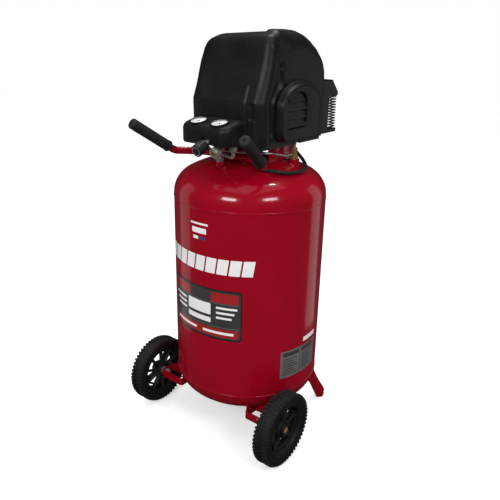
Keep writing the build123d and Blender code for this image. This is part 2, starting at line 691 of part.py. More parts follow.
def console_block(inset=0.0):
    y0, y1 = CONSOLE_Y
    profile = [
        (y0 + inset, CONSOLE_BOTTOM + inset), (y0 + inset, CONSOLE_FRONT_TOP - inset),
        (y1 + (1 if inset else 0), slope_z(y1) - inset * 1.2),
        (y1 + (1 if inset else 0), CONSOLE_BOTTOM + inset),
    ]
    half = CONSOLE_X - inset
    side = Plane(origin=(-half, 0, 0), x_dir=(0, 1, 0), z_dir=(1, 0, 0))
    block = side * extrude(make_face(Polyline(*profile, close=True)), 2 * half)
    corners = block.edges().filter_by(Axis.Z).group_by(Axis.Y)[0]
    return fillet(corners, 24 - inset)


def knob_direction():
    tilt = math.radians(KNOB_TILT)
    return (0.0, -math.cos(tilt), -math.sin(tilt))


def console():
    """Hollow moulding with two gauge holes and the knob's opening."""
    shell = console_block()
    shell = fillet(shell.edges().group_by(Axis.Z)[-1], 3)
    shell -= console_block(3.0)
    for x in (-GAUGE_X, GAUGE_X):
        hole = Cylinder(GAUGE_R - 1.9, 20)
        shell -= gauge_plane(x) * hole
    shell -= bar(KNOB_ROOT, along(KNOB_ROOT, knob_direction(), -20), 8)
    shell -= bar(KNOB_ROOT, along(KNOB_ROOT, knob_direction(), 6), 8)
    front = along(COUPLER_ROOT, knob_direction(), 40)
    shell -= bar(along(COUPLER_ROOT, knob_direction(), -14), front, 15.5)
    shell -= bar(along(COUPLER_ROOT, knob_direction(), -32), COUPLER_ROOT, 9)
    for (x, y), radius in ((RISER_TOP, 11), (VALVE, 9.5), ((-30, -134), 3.2), (GLAND, 7)):
        shell -= bar((x, y, 810), (x, y, 830), radius)
    return shell - box((-CONSOLE_X - 1, -CONSOLE_X + 4), (-150, -138), (836, 858))


def gauge_case(x):
    plane = gauge_plane(x)
    cup = Pos(0, 0, -9) * Cylinder(GAUGE_R - 2, 18)
    cup += Pos(0, 0, 2.25) * Cylinder(GAUGE_R, 4.5)
    cup -= Pos(0, 0, 2.5) * Cylinder(GAUGE_R - 3.0, 5)
    cup += Pos(0, 0, -20) * Cylinder(4.5, 5)
    return plane * cup


def gauge_dial(x):
    return gauge_plane(x) * (Pos(0, 0, 0.6) * Cylinder(GAUGE_R - 3.1, 1.0))


def gauge_needle(x):
    """Pointer, parked against its stop at zero."""
    hub = Pos(0, 0, 1.9) * Cylinder(2.2, 1.2)
    arm = Pos(0, 5.5, 1.9) * Box(1.1, 16, 0.7)
    return gauge_plane(x) * (Rot(0, 0, 135) * (hub + arm))


def gauge_lens(x):
    return gauge_plane(x) * (Pos(0, 0, 3.5) * Cylinder(GAUGE_R - 3.05, 1.2))


def manifold():
    """Cast block that feeds the coupler, with the regulator's bonnet cast on."""
    direction = knob_direction()
    block = box((0, 70), (-158, -126), (828, 846))
    block += bar(along(COUPLER_ROOT, direction, -30), COUPLER_ROOT, 8)
    return block + bar(along(KNOB_ROOT, direction, -36), along(KNOB_ROOT, direction, 6.4), 7.4)


def riser():
    """Bent riser from the tank's outlet boss to the manifold, with a nut at each end."""
    x, y = OUTLET
    top_x, top_y = RISER_TOP
    points = [(x, y, 774), (x, y, 787), (top_x, top_y, 790), (top_x, top_y, 808)]
    body = hexagon((x, y, OUTLET_Z + 0.2), (x, y, 776), 16)
    body += bar((x, y, 752), (x, y, OUTLET_Z + 0.2), 5.9)
    body += swept_tube(points, [10, 10], 4.5)
    body += hexagon((top_x, top_y, 806), (top_x, top_y, 818), 17)
    body += bar((top_x, top_y, 818), (top_x, top_y, 827.8), 6.5)
    body -= swept_tube(points, [10, 10], 2.8)
    body -= bar((x, y, 745), (x, y, 775), 2.8)
    return body - bar((top_x, top_y, 807), (top_x, top_y, 830), 2.8)


def regulator_knob():
    """Fluted knob with a ring-shaped recess in its end face."""
    direction = knob_direction()
    start = along(KNOB_ROOT, direction, 7)
    end = along(start, direction, KNOB_LENGTH)
    knob = bar(start, end, KNOB_R)
    knob = fillet(knob.edges().filter_by(GeomType.CIRCLE).sort_by(Axis.Y)[0], 2)
    plane = Plane(origin=start, z_dir=direction)
    flutes = 18
    for index in range(flutes):
        angle = 2 * math.pi * index / flutes
        x = (KNOB_R + 0.9) * math.cos(angle)
        y = (KNOB_R + 0.9) * math.sin(angle)
        knob -= plane * (Pos(x, y, 15) * Cylinder(1.5, 22))
    ring = plane * (Pos(0, 0, KNOB_LENGTH - 0.8) * (Cylinder(11.6, 1.6) - Cylinder(9.4, 1.6)))
    return knob - ring


def coupler_body():
    """Quick-connect socket with its bore towards the user."""
    direction = knob_direction()
    body = hexagon(along(COUPLER_ROOT, direction, 0.2), along(COUPLER_ROOT, direction, 9), 19)
    body += bar(along(COUPLER_ROOT, direction, 9), along(COUPLER_ROOT, direction, 31), 8.6)
    bore = bar(along(COUPLER_ROOT, direction, 11), along(COUPLER_ROOT, direction, 32), 6.0)
    return body - bore


def coupler_sleeve():
    """Knurled sleeve that slides back to release the plug."""
    direction = knob_direction()
    start = along(COUPLER_ROOT, direction, 14)
    end = along(COUPLER_ROOT, direction, 30)
    sleeve = bar(start, end, 12.6)
    middle = along(COUPLER_ROOT, direction, 22)
    plane = Plane(origin=middle, z_dir=direction)
    sleeve -= plane * Torus(13.6, 2.4)
    return sleeve - bar(along(start, direction, -1), along(end, direction, 1), 8.66)


def safety_valve():
    """Pop-off valve below the manifold."""
    x, y = VALVE
    body = hexagon((x, y, 813), (x, y, 827.8), 14)
    body += bar((x, y, 800), (x, y, 813), 5.5)
    return body + bar((x, y, 796), (x, y, 800), 2.2)


def safety_ring():
    """Pull ring on the valve's stem."""
    x, y = VALVE
    ring = Pos(x, y, 785.6) * (Rot(90, 0, 0) * Torus(8, 1.1))
    return ring + bar((x, y, 793.0), (x, y, 795.6), 1.6)


def pressure_switch():
    """Switch box inside the console's left half."""
    case = box((-62, -8), (-160, -126), (828, 846))
    return case + box((-72.5, -62), (-147, -141), (840, 846))


def switch_lever():
    """On and off lever on the console's left side."""
    pivot = (-CONSOLE_X - 0.4, -144, 847)
    boss = bar(pivot, (-CONSOLE_X - 7, -144, 847), 5)
    arm = box((pivot[0] - 6.6, pivot[0] - 2.0), (-164, -144), (844, 850))
    return boss + arm


def cord_gland():
    """Inlet for the mains cord, in the console's floor."""
    x, y = GLAND
    body = bar((x, y, 812), (x, y, CONSOLE_BOTTOM), 9)
    body += bar((x, y, CONSOLE_BOTTOM), (x, y, 827), 6.8)
    return body - bar((x, y, 808), (x, y, 830), 4)


def lead_bushing(x, y):
    """Strain relief on the underside of the base pan."""
    return bar((x, y, 802), (x, y, 807.9), 8)


LEAD_ROUTE = [
    (81.0, -97.0, 802.0), (81.0, -97.0, 789.0), (84.0, -95.5, 774.0), (92.0, -89.0, 765.0),
    (106.0, -79.0, 760.0), (122.0, -67.0, 756.5), (137.0, -51.0, 753.5), (149.0, -28.0, 750.5),
    (153.5, -2.0, 749.5), (151.0, 23.0, 750.0), (143.0, 45.0, 751.5), (131.0, 63.0, 754.5),
    (115.0, 79.5, 759.0), (96.0, 93.0, 765.5), (77.0, 103.5, 773.0), (62.0, 110.5, 781.0),
    (56.0, 113.0, 791.0), (56.0, 113.0, 802.0),
]


def route_radii(route):
    """Largest comfortable arc at each inner point of a route."""
    radii = []
    for before, here, after in zip(route, route[1:], route[2:]):
        first = Vector(*here) - Vector(*before)
        second = Vector(*after) - Vector(*here)
        turn = math.radians(first.get_angle(second))
        shorter = min(first.length, second.length)
        radii.append(0.45 * shorter / math.tan(turn / 2))
    return radii


def motor_lead():
    radii = route_radii(LEAD_ROUTE)
    print("lead radii", [round(r, 1) for r in radii])
    lead = swept_tube(LEAD_ROUTE, radii, LEAD_R)
    length = lead.volume / (math.pi * LEAD_R ** 2)
    print("lead length", round(length, 1))
    return lead


# ---- Nodes --------------------------------------------------------------------------------------
def main():
    os.makedirs("parts", exist_ok=True)
    save("tank", tank())
    bracket = wheel_bracket()
    save("wheel_brackets", bracket, mirror_x(bracket))
    foot = rear_foot()
    save("rear_feet", foot, mirror_x(foot))
    for name, make in (("tyre", tyre), ("rim", rim)):
        solid = make()
        save(f"{name}_right", solid)
        save(f"{name}_left", mirror_x(solid))
    for name, make in (("axle_bolts", axle_bolt), ("axle_nuts", axle_nut), ("axle_spacers", axle_spacer)):
        solid = make()
        save(name, solid, mirror_x(solid))
    save("drain_cock", drain_boss())
    save("drain_handle", drain_handle())
    save("handle_bar", handle_bar())
    right_grip = grip()
    save("grips", right_grip, mirror_x(right_grip))

    save("saddle", saddle())
    save("isolators", *[isolator(x, y) for x, y in ISOLATORS])
    save("isolator_bolts", *[isolator_bolt(x, y) for x, y in ISOLATORS])
    save("saddle_bolts", *[saddle_bolt(x, y) for x in (-72.5, 72.5) for y in (-23.5, 77.5)])
    save("pump_base", pump_base())
    save("motor_case", motor_case())
    save("end_bells", end_bell(-15.9, -10), end_bell(72, 77.9))
    save("bearings", bearing(-15.9, -8), bearing(70, 77.9))
    save("stator", stator())
    save("rotor_shaft", rotor_shaft())
    save("eccentric", eccentric())
    save("cooling_fan", cooling_fan())
    save("crankcase", crankcase())
    save("cylinder", cylinder())
    save("piston", piston())
    save("connecting_rod", connecting_rod())
    save("valve_plate", valve_plate())
    save("cylinder_head", cylinder_head())
    save("head_bolts", *[head_bolt(x, y) for x, y in HEAD_BOLTS])
    save("discharge_tube", discharge_tube())
    save("check_valve", check_valve())
    save("unloader_tube", unloader_tube())
    save("intake_filter", intake_filter())

    save("shroud_hood", shroud_hood())
    save("side_pod", side_pod())
    save("rear_cage", rear_cage())
    save("base_pan", base_pan())
    save("pan_screws", *[pan_screw(x, y) for x, y in PAN_SCREWS])

    save("console", console())
    save("gauge_cases", gauge_case(-GAUGE_X), gauge_case(GAUGE_X))
    save("gauge_dials", gauge_dial(-GAUGE_X), gauge_dial(GAUGE_X))
    save("gauge_lenses", gauge_lens(-GAUGE_X), gauge_lens(GAUGE_X))
    save("needle_tank", gauge_needle(GAUGE_X))
    save("needle_outlet", gauge_needle(-GAUGE_X))
    save("manifold", manifold())
    save("riser", riser())
    save("regulator_knob", regulator_knob())
    save("coupler_body", coupler_body())
    save("coupler_sleeve", coupler_sleeve())
    save("safety_valve", safety_valve())
    save("safety_ring", safety_ring())
    save("pressure_switch", pressure_switch())
    save("switch_lever", switch_lever())
    save("cord_gland", cord_gland())
    save("lead_bushings", lead_bushing(*LEAD_ROUTE[0][:2]), lead_bushing(*LEAD_ROUTE[-1][:2]))
    save("motor_lead", motor_lead())


main()
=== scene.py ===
"""Looks of a portable vertical air compressor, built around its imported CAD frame.

Lengths in this script are millimetres from the tank's axis, in the frame's directions, and place()
turns them into the frame's metres. The console faces -Y and +X is the right-hand side of somebody who
faces it.
"""
import json
import math

import bmesh
import bpy
from mathutils import Matrix, Vector


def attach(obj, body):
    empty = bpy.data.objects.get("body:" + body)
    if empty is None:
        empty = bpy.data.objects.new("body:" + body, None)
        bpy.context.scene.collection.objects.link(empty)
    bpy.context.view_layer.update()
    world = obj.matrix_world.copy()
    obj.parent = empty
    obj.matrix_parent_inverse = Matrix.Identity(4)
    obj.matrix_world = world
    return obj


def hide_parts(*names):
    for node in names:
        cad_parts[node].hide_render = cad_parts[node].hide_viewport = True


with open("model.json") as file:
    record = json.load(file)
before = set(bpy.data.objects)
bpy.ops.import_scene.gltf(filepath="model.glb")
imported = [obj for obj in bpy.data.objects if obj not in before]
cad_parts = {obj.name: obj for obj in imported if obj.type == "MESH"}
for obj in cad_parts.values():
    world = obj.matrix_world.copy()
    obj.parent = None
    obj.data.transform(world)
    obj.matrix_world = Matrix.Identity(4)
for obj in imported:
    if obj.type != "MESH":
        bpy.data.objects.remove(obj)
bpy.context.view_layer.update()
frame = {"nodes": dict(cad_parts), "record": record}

# ---- Driving dimensions -------------------------------------------------------------------------
# Most repeat the CAD's. The weld beads, fan cover, hood and cage have visible sizes of their own.
MM = 0.001
TANK_Y = 8.4                     # the tank's axis in the frame
TANK_R = 203.0
SHELL_Z0 = 164.0                 # the straight shell's lower and upper edges
SHELL_Z1 = 674.0
HEAD_LOW = (385.0, 64.0)         # crown and knuckle radii of the dished heads
HEAD_TOP = (365.0, 69.0)
SEAM_R = 0.8                     # how far a weld bead stands out
SEAM_HALF = 3.0                  # half its height
SEAM_INSET = 6.0
INLET = (100.0, 53.0, 768.0)     # tops of the two upper bosses
OUTLET = (-15.0, -104.0, 768.0)

WHEEL_R = 100.0
WHEEL_W = 44.0
WHEEL_X = 228.4
WHEEL_Y = -140.7
RIM_R = 68.0                     # where the tyre sits on the rim
LUGS = 54                        # tread blocks on each side of a tyre's middle
RIM_POCKETS = 5
RIM_TURN = 0.3                   # how far the pockets and ribs are turned, in radians

GRIP_R = 13.8
GRIP_INNER = (148.4, -152.8, 794.1)  # ends of the right grip
GRIP_OUTER = (175.8, -250.9, 861.0)

HOOD_X = 113.0                   # half its width
HOOD_PROFILE = [                 # (y, z) round the middle, from the front's foot to the rear's
    (-120.5, 816.0), (-121.5, 882.0), (-123.0, 918.0), (-107.0, 959.0), (-94.0, 1002.0), (-84.0, 1045.0),
    (-74.0, 1060.0), (-46.0, 1069.0), (60.0, 1071.0), (88.0, 1066.0), (112.0, 1056.0), (136.0, 1038.0),
    (156.0, 1012.0), (168.0, 985.0), (172.0, 955.0), (172.0, 816.0),
]
HOOD_STEP = 2.4                  # distance between the skin's rows
HOOD_LEFT_R = (42.0, 62.0)       # left corner radius low down and at the top
HOOD_RIGHT_R = (16.0, 44.0)      # right corner radius at the front and over the top
HOOD_HEART = (27.0, 930.0)       # the side faces run toward this point of the middle plane
RIB = (131.0, 31.0, 8.5)         # corner rib: middle across, half width, height
GROOVE = (13.0, 10.0)            # groove behind it: half width, depth
HUMP = 4.6                       # raised band on the top
CREASE = (917.0, 3.2, 1.5)       # level line in the front: height, half width, depth
FRONT_MARKS = [                  # rise, then from, to and softness round the hood and in height
    (-0.9, (-84, 58, 5), (842, 914, 3)),
    (2.4, (61, 74, 4), (830, 958, 12)),
    (-4.0, (86, 103, 2.6), (880, 917, 2.6)),
]
LEFT_PANEL = (-3.0, (18, 400, 5), (846, 960, 6))

POD_X = 136.0                    # the fan cover's flat face
POD_BASE_Y = (-58.0, 138.0)      # from front to back at its flange
POD_FACE_Y = (-51.0, 103.0)      # and at its face
POD_Z = (820.0, 966.0)
POD_MOUTH_Y = (-38.0, 50.0)      # the louvred recess
POD_MOUTH_Z = (854.0, 941.0)
POD_BLADES = 4
POD_BLADE_Z = (856.0, 938.0)     # from the lowest blade's foot to the highest one's top
POD_RINGS = [                    # (how far inward, x) of the rings from the flange to the face
    (0.0, 111.0), (0.0, 118.0), (0.03, 120.6), (0.10, 122.4), (0.22, 123.4), (0.34, 123.4),
    (0.42, 123.0), (0.48, 124.2), (0.54, 127.4), (0.62, 131.2), (0.72, 134.0), (0.84, 135.5),
    (1.0, POD_X), (1.06, POD_X),
]

CAGE_X = 110.5
CAGE_Y = (138.0, 196.0, 241.0)   # start of the side panels, start of the slats, back
CAGE_Z = (819.0, 959.0)
SLATS = 12

CONSOLE_X = 74.0
CONSOLE_Y = (-190.0, -123.0)
CONSOLE_BOTTOM = 821.0
CONSOLE_SLOPE = 14.0             # of its top, in degrees
CONSOLE_FRONT_TOP = 864.0        # the top's height at the front
CONSOLE_SEAM_X = 58.0            # upright seams in its front
CONSOLE_CORNER = 24.0            # plan radius of the front corners
CONSOLE_CROWN = 11.0             # rounding of the top's edge
GAUGE_X = 32.6
GAUGE_Y = -163.4
GAUGE_R = 22.3
DIAL_TICKS = 41
DIAL_SWEEP = 270.0               # degrees from the first tick to the last
KNOB_TILT = 23.0                 # degrees below level
KNOB_ROOT = (13.5, -190.4, 826.5)
KNOB_END = 37.0                  # from the root to the knob's end face
COUPLER_ROOT = (35.0, -160.0, 816.0)

LEAD_R = 4.6
LEAD_ROUTE = [
    (81.0, -97.0, 802.0), (81.0, -97.0, 789.0), (84.0, -95.5, 774.0), (92.0, -89.0, 765.0),
    (106.0, -79.0, 760.0), (122.0, -67.0, 756.5), (137.0, -51.0, 753.5), (149.0, -28.0, 750.5),
    (153.5, -2.0, 749.5), (151.0, 23.0, 750.0), (143.0, 45.0, 751.5), (131.0, 63.0, 754.5),
    (115.0, 79.5, 759.0), (96.0, 93.0, 765.5), (77.0, 103.5, 773.0), (62.0, 110.5, 781.0),
    (56.0, 113.0, 791.0), (56.0, 113.0, 802.0),
]

BODY_OF = {
    node: body
    for body, nodes in frame["record"]["behaviour"]["bodies"].items()
    for node in nodes
}


def place(x, y, z):
    """A point given in millimetres from the tank's axis, in the frame's metres."""
    return Vector((x, y + TANK_Y, z)) * MM


# ---- Camera -------------------------------------------------------------------------------------
CAMERA_PLACE = (919.9, -1186.7, 1066.8)
CAMERA_HEADING = 37.66
CAMERA_PITCH = 20.55
CAMERA_ROLL = 1.27
CAMERA_LENS = 41.35
CAMERA_SENSOR = 36.0


def make_camera():
    """Camera at a place, turned by its heading from +Y to the left, its pitch down and its roll."""
    heading, pitch, roll = (math.radians(a) for a in (CAMERA_HEADING, CAMERA_PITCH, CAMERA_ROLL))
    level = Vector((-math.sin(heading), math.cos(heading), 0))
    forward = level * math.cos(pitch) + Vector((0, 0, -1)) * math.sin(pitch)
    right = forward.cross(Vector((0, 0, 1))).normalized()
    up = right.cross(forward)
    rolled_right = right * math.cos(roll) + up * math.sin(roll)
    rolled_up = up * math.cos(roll) - right * math.sin(roll)
    data = bpy.data.cameras.new("camera")
    data.lens = CAMERA_LENS
    data.sensor_width = CAMERA_SENSOR
    camera = bpy.data.objects.new("camera", data)
    axes = Matrix((rolled_right, rolled_up, -forward)).transposed()
    camera.matrix_world = Matrix.Translation(place(*CAMERA_PLACE)) @ axes.to_4x4()
    bpy.context.scene.collection.objects.link(camera)
    bpy.context.scene.camera = camera


make_camera()


# ---- Materials ----------------------------------------------------------------------------------
EDGE_POINTINESS = (0.53, 0.62)   # pointiness where the edge colour starts and where it is full
EDGE_MIX = 0.5                   # its share there


def shade(name, colour, other, rough, spread=0.06, metallic=0.0, patch=40.0, grain=900.0,
          bump=0.05, bump_height=0.0004, edge=None, **constants):
    """A procedural finish: colour drifts between two tones, roughness wanders, fine grain bumps.

    patch and grain are the two noises' scales. edge is a colour that shows on the piece's convex
    edges, as wear and as a painted highlight (moulding shine). constants set the shader's own sockets.
    """
    material = bpy.data.materials.new(name)
    material.use_nodes = True
    nodes, links = material.node_tree.nodes, material.node_tree.links
    surface = nodes["Principled BSDF"]
    surface.inputs["Metallic"].default_value = metallic
    for socket, value in constants.items():
        surface.inputs[socket.replace("_", " ")].default_value = value
    where = nodes.new("ShaderNodeTexCoord")

    drift = nodes.new("ShaderNodeTexNoise")
    drift.inputs["Scale"].default_value = patch
    drift.inputs["Detail"].default_value = 6.0
    links.new(where.outputs["Object"], drift.inputs["Vector"])
    tones = nodes.new("ShaderNodeValToRGB")
    tones.color_ramp.elements[0].position = 0.3
    tones.color_ramp.elements[1].position = 0.7
    tones.color_ramp.elements[0].color = (*colour, 1)
    tones.color_ramp.elements[1].color = (*other, 1)
    links.new(drift.outputs["Fac"], tones.inputs["Fac"])
    paint = tones.outputs["Color"]

    # The edge colour lightens convex edges: partly wear, partly a painted highlight where edges catch
    # light.
    if edge:
        geometry = nodes.new("ShaderNodeNewGeometry")
        wear_and_sheen = nodes.new("ShaderNodeMapRange")
        wear_and_sheen.inputs["From Min"].default_value = EDGE_POINTINESS[0]
        wear_and_sheen.inputs["From Max"].default_value = EDGE_POINTINESS[1]
        wear_and_sheen.inputs["To Max"].default_value = EDGE_MIX
        links.new(geometry.outputs["Pointiness"], wear_and_sheen.inputs["Value"])
        blend = nodes.new("ShaderNodeMix")
        blend.data_type = "RGBA"
        blend.inputs["B"].default_value = (*edge, 1)
        links.new(wear_and_sheen.outputs["Result"], blend.inputs["Factor"])
        links.new(paint, blend.inputs["A"])
        paint = blend.outputs["Result"]
    links.new(paint, surface.inputs["Base Color"])

    wander = nodes.new("ShaderNodeMapRange")
    wander.inputs["To Min"].default_value = max(rough - spread, 0.02)
    wander.inputs["To Max"].default_value = rough + spread
    links.new(drift.outputs["Fac"], wander.inputs["Value"])
    links.new(wander.outputs["Result"], surface.inputs["Roughness"])

    fine = nodes.new("ShaderNodeTexNoise")
    fine.inputs["Scale"].default_value = grain
    fine.inputs["Detail"].default_value = 3.0
    links.new(where.outputs["Object"], fine.inputs["Vector"])
    relief = nodes.new("ShaderNodeBump")
    relief.inputs["Strength"].default_value = bump
    relief.inputs["Distance"].default_value = bump_height
    links.new(fine.outputs["Fac"], relief.inputs["Height"])
    links.new(relief.outputs["Normal"], surface.inputs["Normal"])
    return material


RED = (0.335, 0.0012, 0.0135)
RED_DEEP = (0.290, 0.0008, 0.0105)
BLACK = (0.0058, 0.0058, 0.0062)
BLACK_LIGHT = (0.0092, 0.0092, 0.0098)

# The edge colours below are lighter than their bases: wear plus a painted highlight on convex edges.
FINISH = {
    "red_paint": shade("red_paint", RED, RED_DEEP, 0.24, 0.03, patch=9, grain=260, bump=0.10,
                       bump_height=0.00025, Specular_IOR_Level=0.1, Coat_Weight=0.85,
                       Coat_Roughness=0.11, Coat_IOR=1.5),
    "tyre_rubber": shade("tyre_rubber", (0.0065, 0.0062, 0.0064), (0.011, 0.0106, 0.0108), 0.62, 0.1,
                         patch=55, grain=700, bump=0.35, edge=(0.028, 0.028, 0.028)),
    "rim_plastic": shade("rim_plastic", (0.0085, 0.0083, 0.0085), (0.013, 0.0128, 0.0132), 0.5, 0.08,
                         patch=60, grain=1100, bump=0.2, edge=(0.045, 0.045, 0.048)),
    "black_plastic": shade("black_plastic", BLACK, BLACK_LIGHT, 0.46, 0.05, patch=22, grain=1500,
                           bump=0.28, bump_height=0.0003, edge=(0.035, 0.035, 0.037),
                           Specular_IOR_Level=0.4),
    "black_rubber": shade("black_rubber", (0.0085, 0.0085, 0.009), (0.0145, 0.0145, 0.0145), 0.66, 0.08,
                          patch=90, grain=1300, bump=0.5),
    "zinc": shade("zinc", (0.55, 0.55, 0.53), (0.42, 0.42, 0.42), 0.32, 0.1, metallic=0.75,
                  patch=160, grain=900, bump=0.15, edge=(0.75, 0.75, 0.74)),
    "brass": shade("brass", (0.62, 0.43, 0.18), (0.48, 0.32, 0.12), 0.28, 0.1, metallic=0.75,
                   patch=150, grain=800, bump=0.12, edge=(0.85, 0.66, 0.36)),
    "yellow_zinc": shade("yellow_zinc", (0.60, 0.40, 0.16), (0.48, 0.30, 0.12), 0.36, 0.08, metallic=0.6,
                         patch=140, grain=900, bump=0.15, edge=(0.8, 0.6, 0.34)),
    "dark_steel": shade("dark_steel", (0.11, 0.11, 0.115), (0.16, 0.16, 0.165), 0.4, 0.1,
                        metallic=1.0, patch=120, grain=900, bump=0.2),
    "cast_alloy": shade("cast_alloy", (0.42, 0.42, 0.43), (0.33, 0.33, 0.34), 0.55, 0.1,
                        metallic=1.0, patch=70, grain=600, bump=0.5, bump_height=0.0006),
    "copper_wound": shade("copper_wound", (0.50, 0.19, 0.09), (0.36, 0.12, 0.05), 0.35, 0.1,
                          metallic=1.0, patch=200, grain=2500, bump=0.6),
    # The dials glow faintly through Emission: painted light that brightens them under their lenses,
    # though they are no lamp.
    "dial_white": shade("dial_white", (0.86, 0.86, 0.84), (0.80, 0.80, 0.78), 0.4, 0.05,
                        patch=120, grain=1500, bump=0.03, Emission_Color=(0.9, 0.9, 0.9, 1.0),
                        Emission_Strength=0.18),
    "needle_black": shade("needle_black", (0.01, 0.01, 0.01), (0.02, 0.02, 0.02), 0.4, 0.05,
                          patch=200, grain=1500, bump=0.05),
    "fan_plastic": shade("fan_plastic", (0.03, 0.03, 0.032), (0.045, 0.045, 0.046), 0.5, 0.08,
                         patch=70, grain=1200, bump=0.2),
    "lead_rubber": shade("lead_rubber", (0.012, 0.012, 0.013), (0.020, 0.020, 0.021), 0.5, 0.08,
                         patch=120, grain=1400, bump=0.3),
    "clear_lens": shade("clear_lens", (0.95, 0.96, 0.96), (0.92, 0.94, 0.94), 0.06, 0.02,
                        patch=60, grain=900, bump=0.01, Alpha=0.12),
}
PRINT_GREY = shade("print_grey", (0.040, 0.036, 0.038), (0.054, 0.048, 0.050), 0.34, 0.04,
                   patch=18, grain=800, bump=0.06, Coat_Weight=0.6, Coat_Roughness=0.12)
PRINT_DARK = shade("print_dark", (0.014, 0.012, 0.013), (0.020, 0.018, 0.018), 0.34, 0.04,
                   patch=18, grain=800, bump=0.06, Coat_Weight=0.6, Coat_Roughness=0.12)
PRINT_WHITE = shade("print_white", (0.96, 0.95, 0.95), (0.92, 0.91, 0.91), 0.3, 0.04,
                    patch=25, grain=800, bump=0.05, Coat_Weight=0.6, Coat_Roughness=0.1)
PRINT_RED = shade("print_red", (0.40, 0.015, 0.018), (0.34, 0.012, 0.015), 0.3, 0.04,
                  patch=25, grain=800, bump=0.05, Coat_Weight=0.6, Coat_Roughness=0.1)
PRINT_BLUE = shade("print_blue", (0.03, 0.05, 0.20), (0.04, 0.06, 0.25), 0.3, 0.04,
                   patch=25, grain=800, bump=0.05, Coat_Weight=0.6, Coat_Roughness=0.1)
PRINT_SILVER = shade("print_silver", (0.165, 0.165, 0.16), (0.125, 0.125, 0.12), 0.36, 0.04,
                     patch=25, grain=800, bump=0.05, Coat_Weight=0.6, Coat_Roughness=0.1)

FINISH_NODES = {
    "red_paint": ["wheel_brackets", "rear_feet", "handle_bar", "saddle"],
    "black_plastic": ["side_pod", "base_pan", "gauge_cases", "regulator_knob",
                      "pressure_switch", "switch_lever", "intake_filter"],
    "black_rubber": ["isolators", "cord_gland", "lead_bushings"],
    "zinc": ["axle_nuts", "axle_spacers", "isolator_bolts", "saddle_bolts",
             "head_bolts", "discharge_tube", "unloader_tube", "pan_screws", "safety_ring",
             "coupler_sleeve", "riser"],
    "brass": ["drain_cock", "check_valve", "coupler_body", "safety_valve"],
    "yellow_zinc": ["axle_bolts"],
    "dark_steel": ["rotor_shaft", "pump_base", "eccentric", "valve_plate", "bearings"],
    "cast_alloy": ["motor_case", "end_bells", "crankcase", "cylinder", "piston",
                   "connecting_rod", "cylinder_head", "manifold"],
    "copper_wound": ["stator"],
    "dial_white": ["gauge_dials"],
    "needle_black": ["needle_tank", "needle_outlet"],
    "clear_lens": ["gauge_lenses"],
    "fan_plastic": ["cooling_fan", "drain_handle"],
}
SOFT_EDGE = {                    # width of the eased edges, in millimetres
    "wheel_brackets": 0.8, "rear_feet": 0.8, "saddle": 0.8, "base_pan": 1.0,
    "gauge_cases": 0.7, "pressure_switch": 1.0, "switch_lever": 1.0, "isolators": 0.8,
    "cord_gland": 0.8, "axle_bolts": 0.6, "axle_nuts": 0.5, "axle_spacers": 0.4,
    "isolator_bolts": 0.5, "saddle_bolts": 0.6, "head_bolts": 0.5, "pan_screws": 0.4,
    "coupler_sleeve": 0.6, "drain_cock": 0.5, "check_valve": 0.6, "riser": 0.6,
    "coupler_body": 0.5, "safety_valve": 0.5, "pump_base": 0.8, "valve_plate": 0.4,
    "motor_case": 1.0, "end_bells": 0.6, "crankcase": 1.0, "cylinder": 0.5,
    "cylinder_head": 0.6, "manifold": 1.2, "drain_handle": 0.8, "cooling_fan": 0.4,
    "lead_bushings": 1.2, "intake_filter": 1.0, "regulator_knob": 0.4,
}


# ---- Mesh helpers -------------------------------------------------------------------------------
def add_object(name, mesh, material, body, replaced=()):
    """A new piece that rides on a body and may stand for CAD nodes."""
    obj = bpy.data.objects.new(name, mesh)
    bpy.context.scene.collection.objects.link(obj)
    obj.data.materials.append(material)
    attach(obj, body)
    if replaced:
        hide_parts(*replaced)
    return obj


def add_piece(name, mesh, finish, body, *replaced):
    """A new piece whose finish has the name of its slot."""
    return add_object(name, mesh, FINISH[finish], body, replaced)


def smooth_by_angle(mesh, degrees=35.0):
    """Smooth shading that breaks at edges sharper than an angle."""
    bm = bmesh.new()
    bm.from_mesh(mesh)
    limit = math.radians(degrees)
    for face in bm.faces:
        face.smooth = True
    for edge in bm.edges:
        edge.smooth = len(edge.link_faces) == 2 and edge.calc_face_angle(0.0) < limit
    bm.to_mesh(mesh)
    bm.free()


def mesh_from(name, verts, faces, degrees=35.0, merge=True):
    """A mesh from points in metres, with outward normals. merge joins points that coincide."""
    mesh = bpy.data.meshes.new(name)
    mesh.from_pydata([tuple(v) for v in verts], [], faces)
    bm = bmesh.new()
    bm.from_mesh(mesh)
    if merge:
        bmesh.ops.remove_doubles(bm, verts=bm.verts, dist=1e-7)
    bmesh.ops.recalc_face_normals(bm, faces=bm.faces)
    bm.to_mesh(mesh)
    bm.free()
    smooth_by_angle(mesh, degrees)
    return mesh


def basis(direction):
    """Two unit vectors across a direction."""
    direction = Vector(direction).normalized()
    helper = Vector((1, 0, 0)) if abs(direction.x) < 0.9 else Vector((0, 1, 0))
    across = helper - direction * helper.dot(direction)
    across.normalize()
    return across, direction.cross(across)


def lathe_points(outline, origin, direction, segments):
    """Points in millimetres, and quads, of an outline [(radius, height)] turned about an axis."""
    across, upward = basis(direction)
    axis = Vector(direction).normalized()
    verts, faces = [], []
    rings = len(outline)
    for index in range(segments):
        angle = 2 * math.pi * index / segments
        spoke = across * math.cos(angle) + upward * math.sin(angle)
        for radius, height in outline:
            verts.append(Vector(origin) + spoke * radius + axis * height)
    for index in range(segments):
        after = (index + 1) % segments
        for ring in range(rings - 1):
            a, b = index * rings + ring, index * rings + ring + 1
            c, d = after * rings + ring + 1, after * rings + ring
            faces.append((a, b, c, d))
    return verts, faces


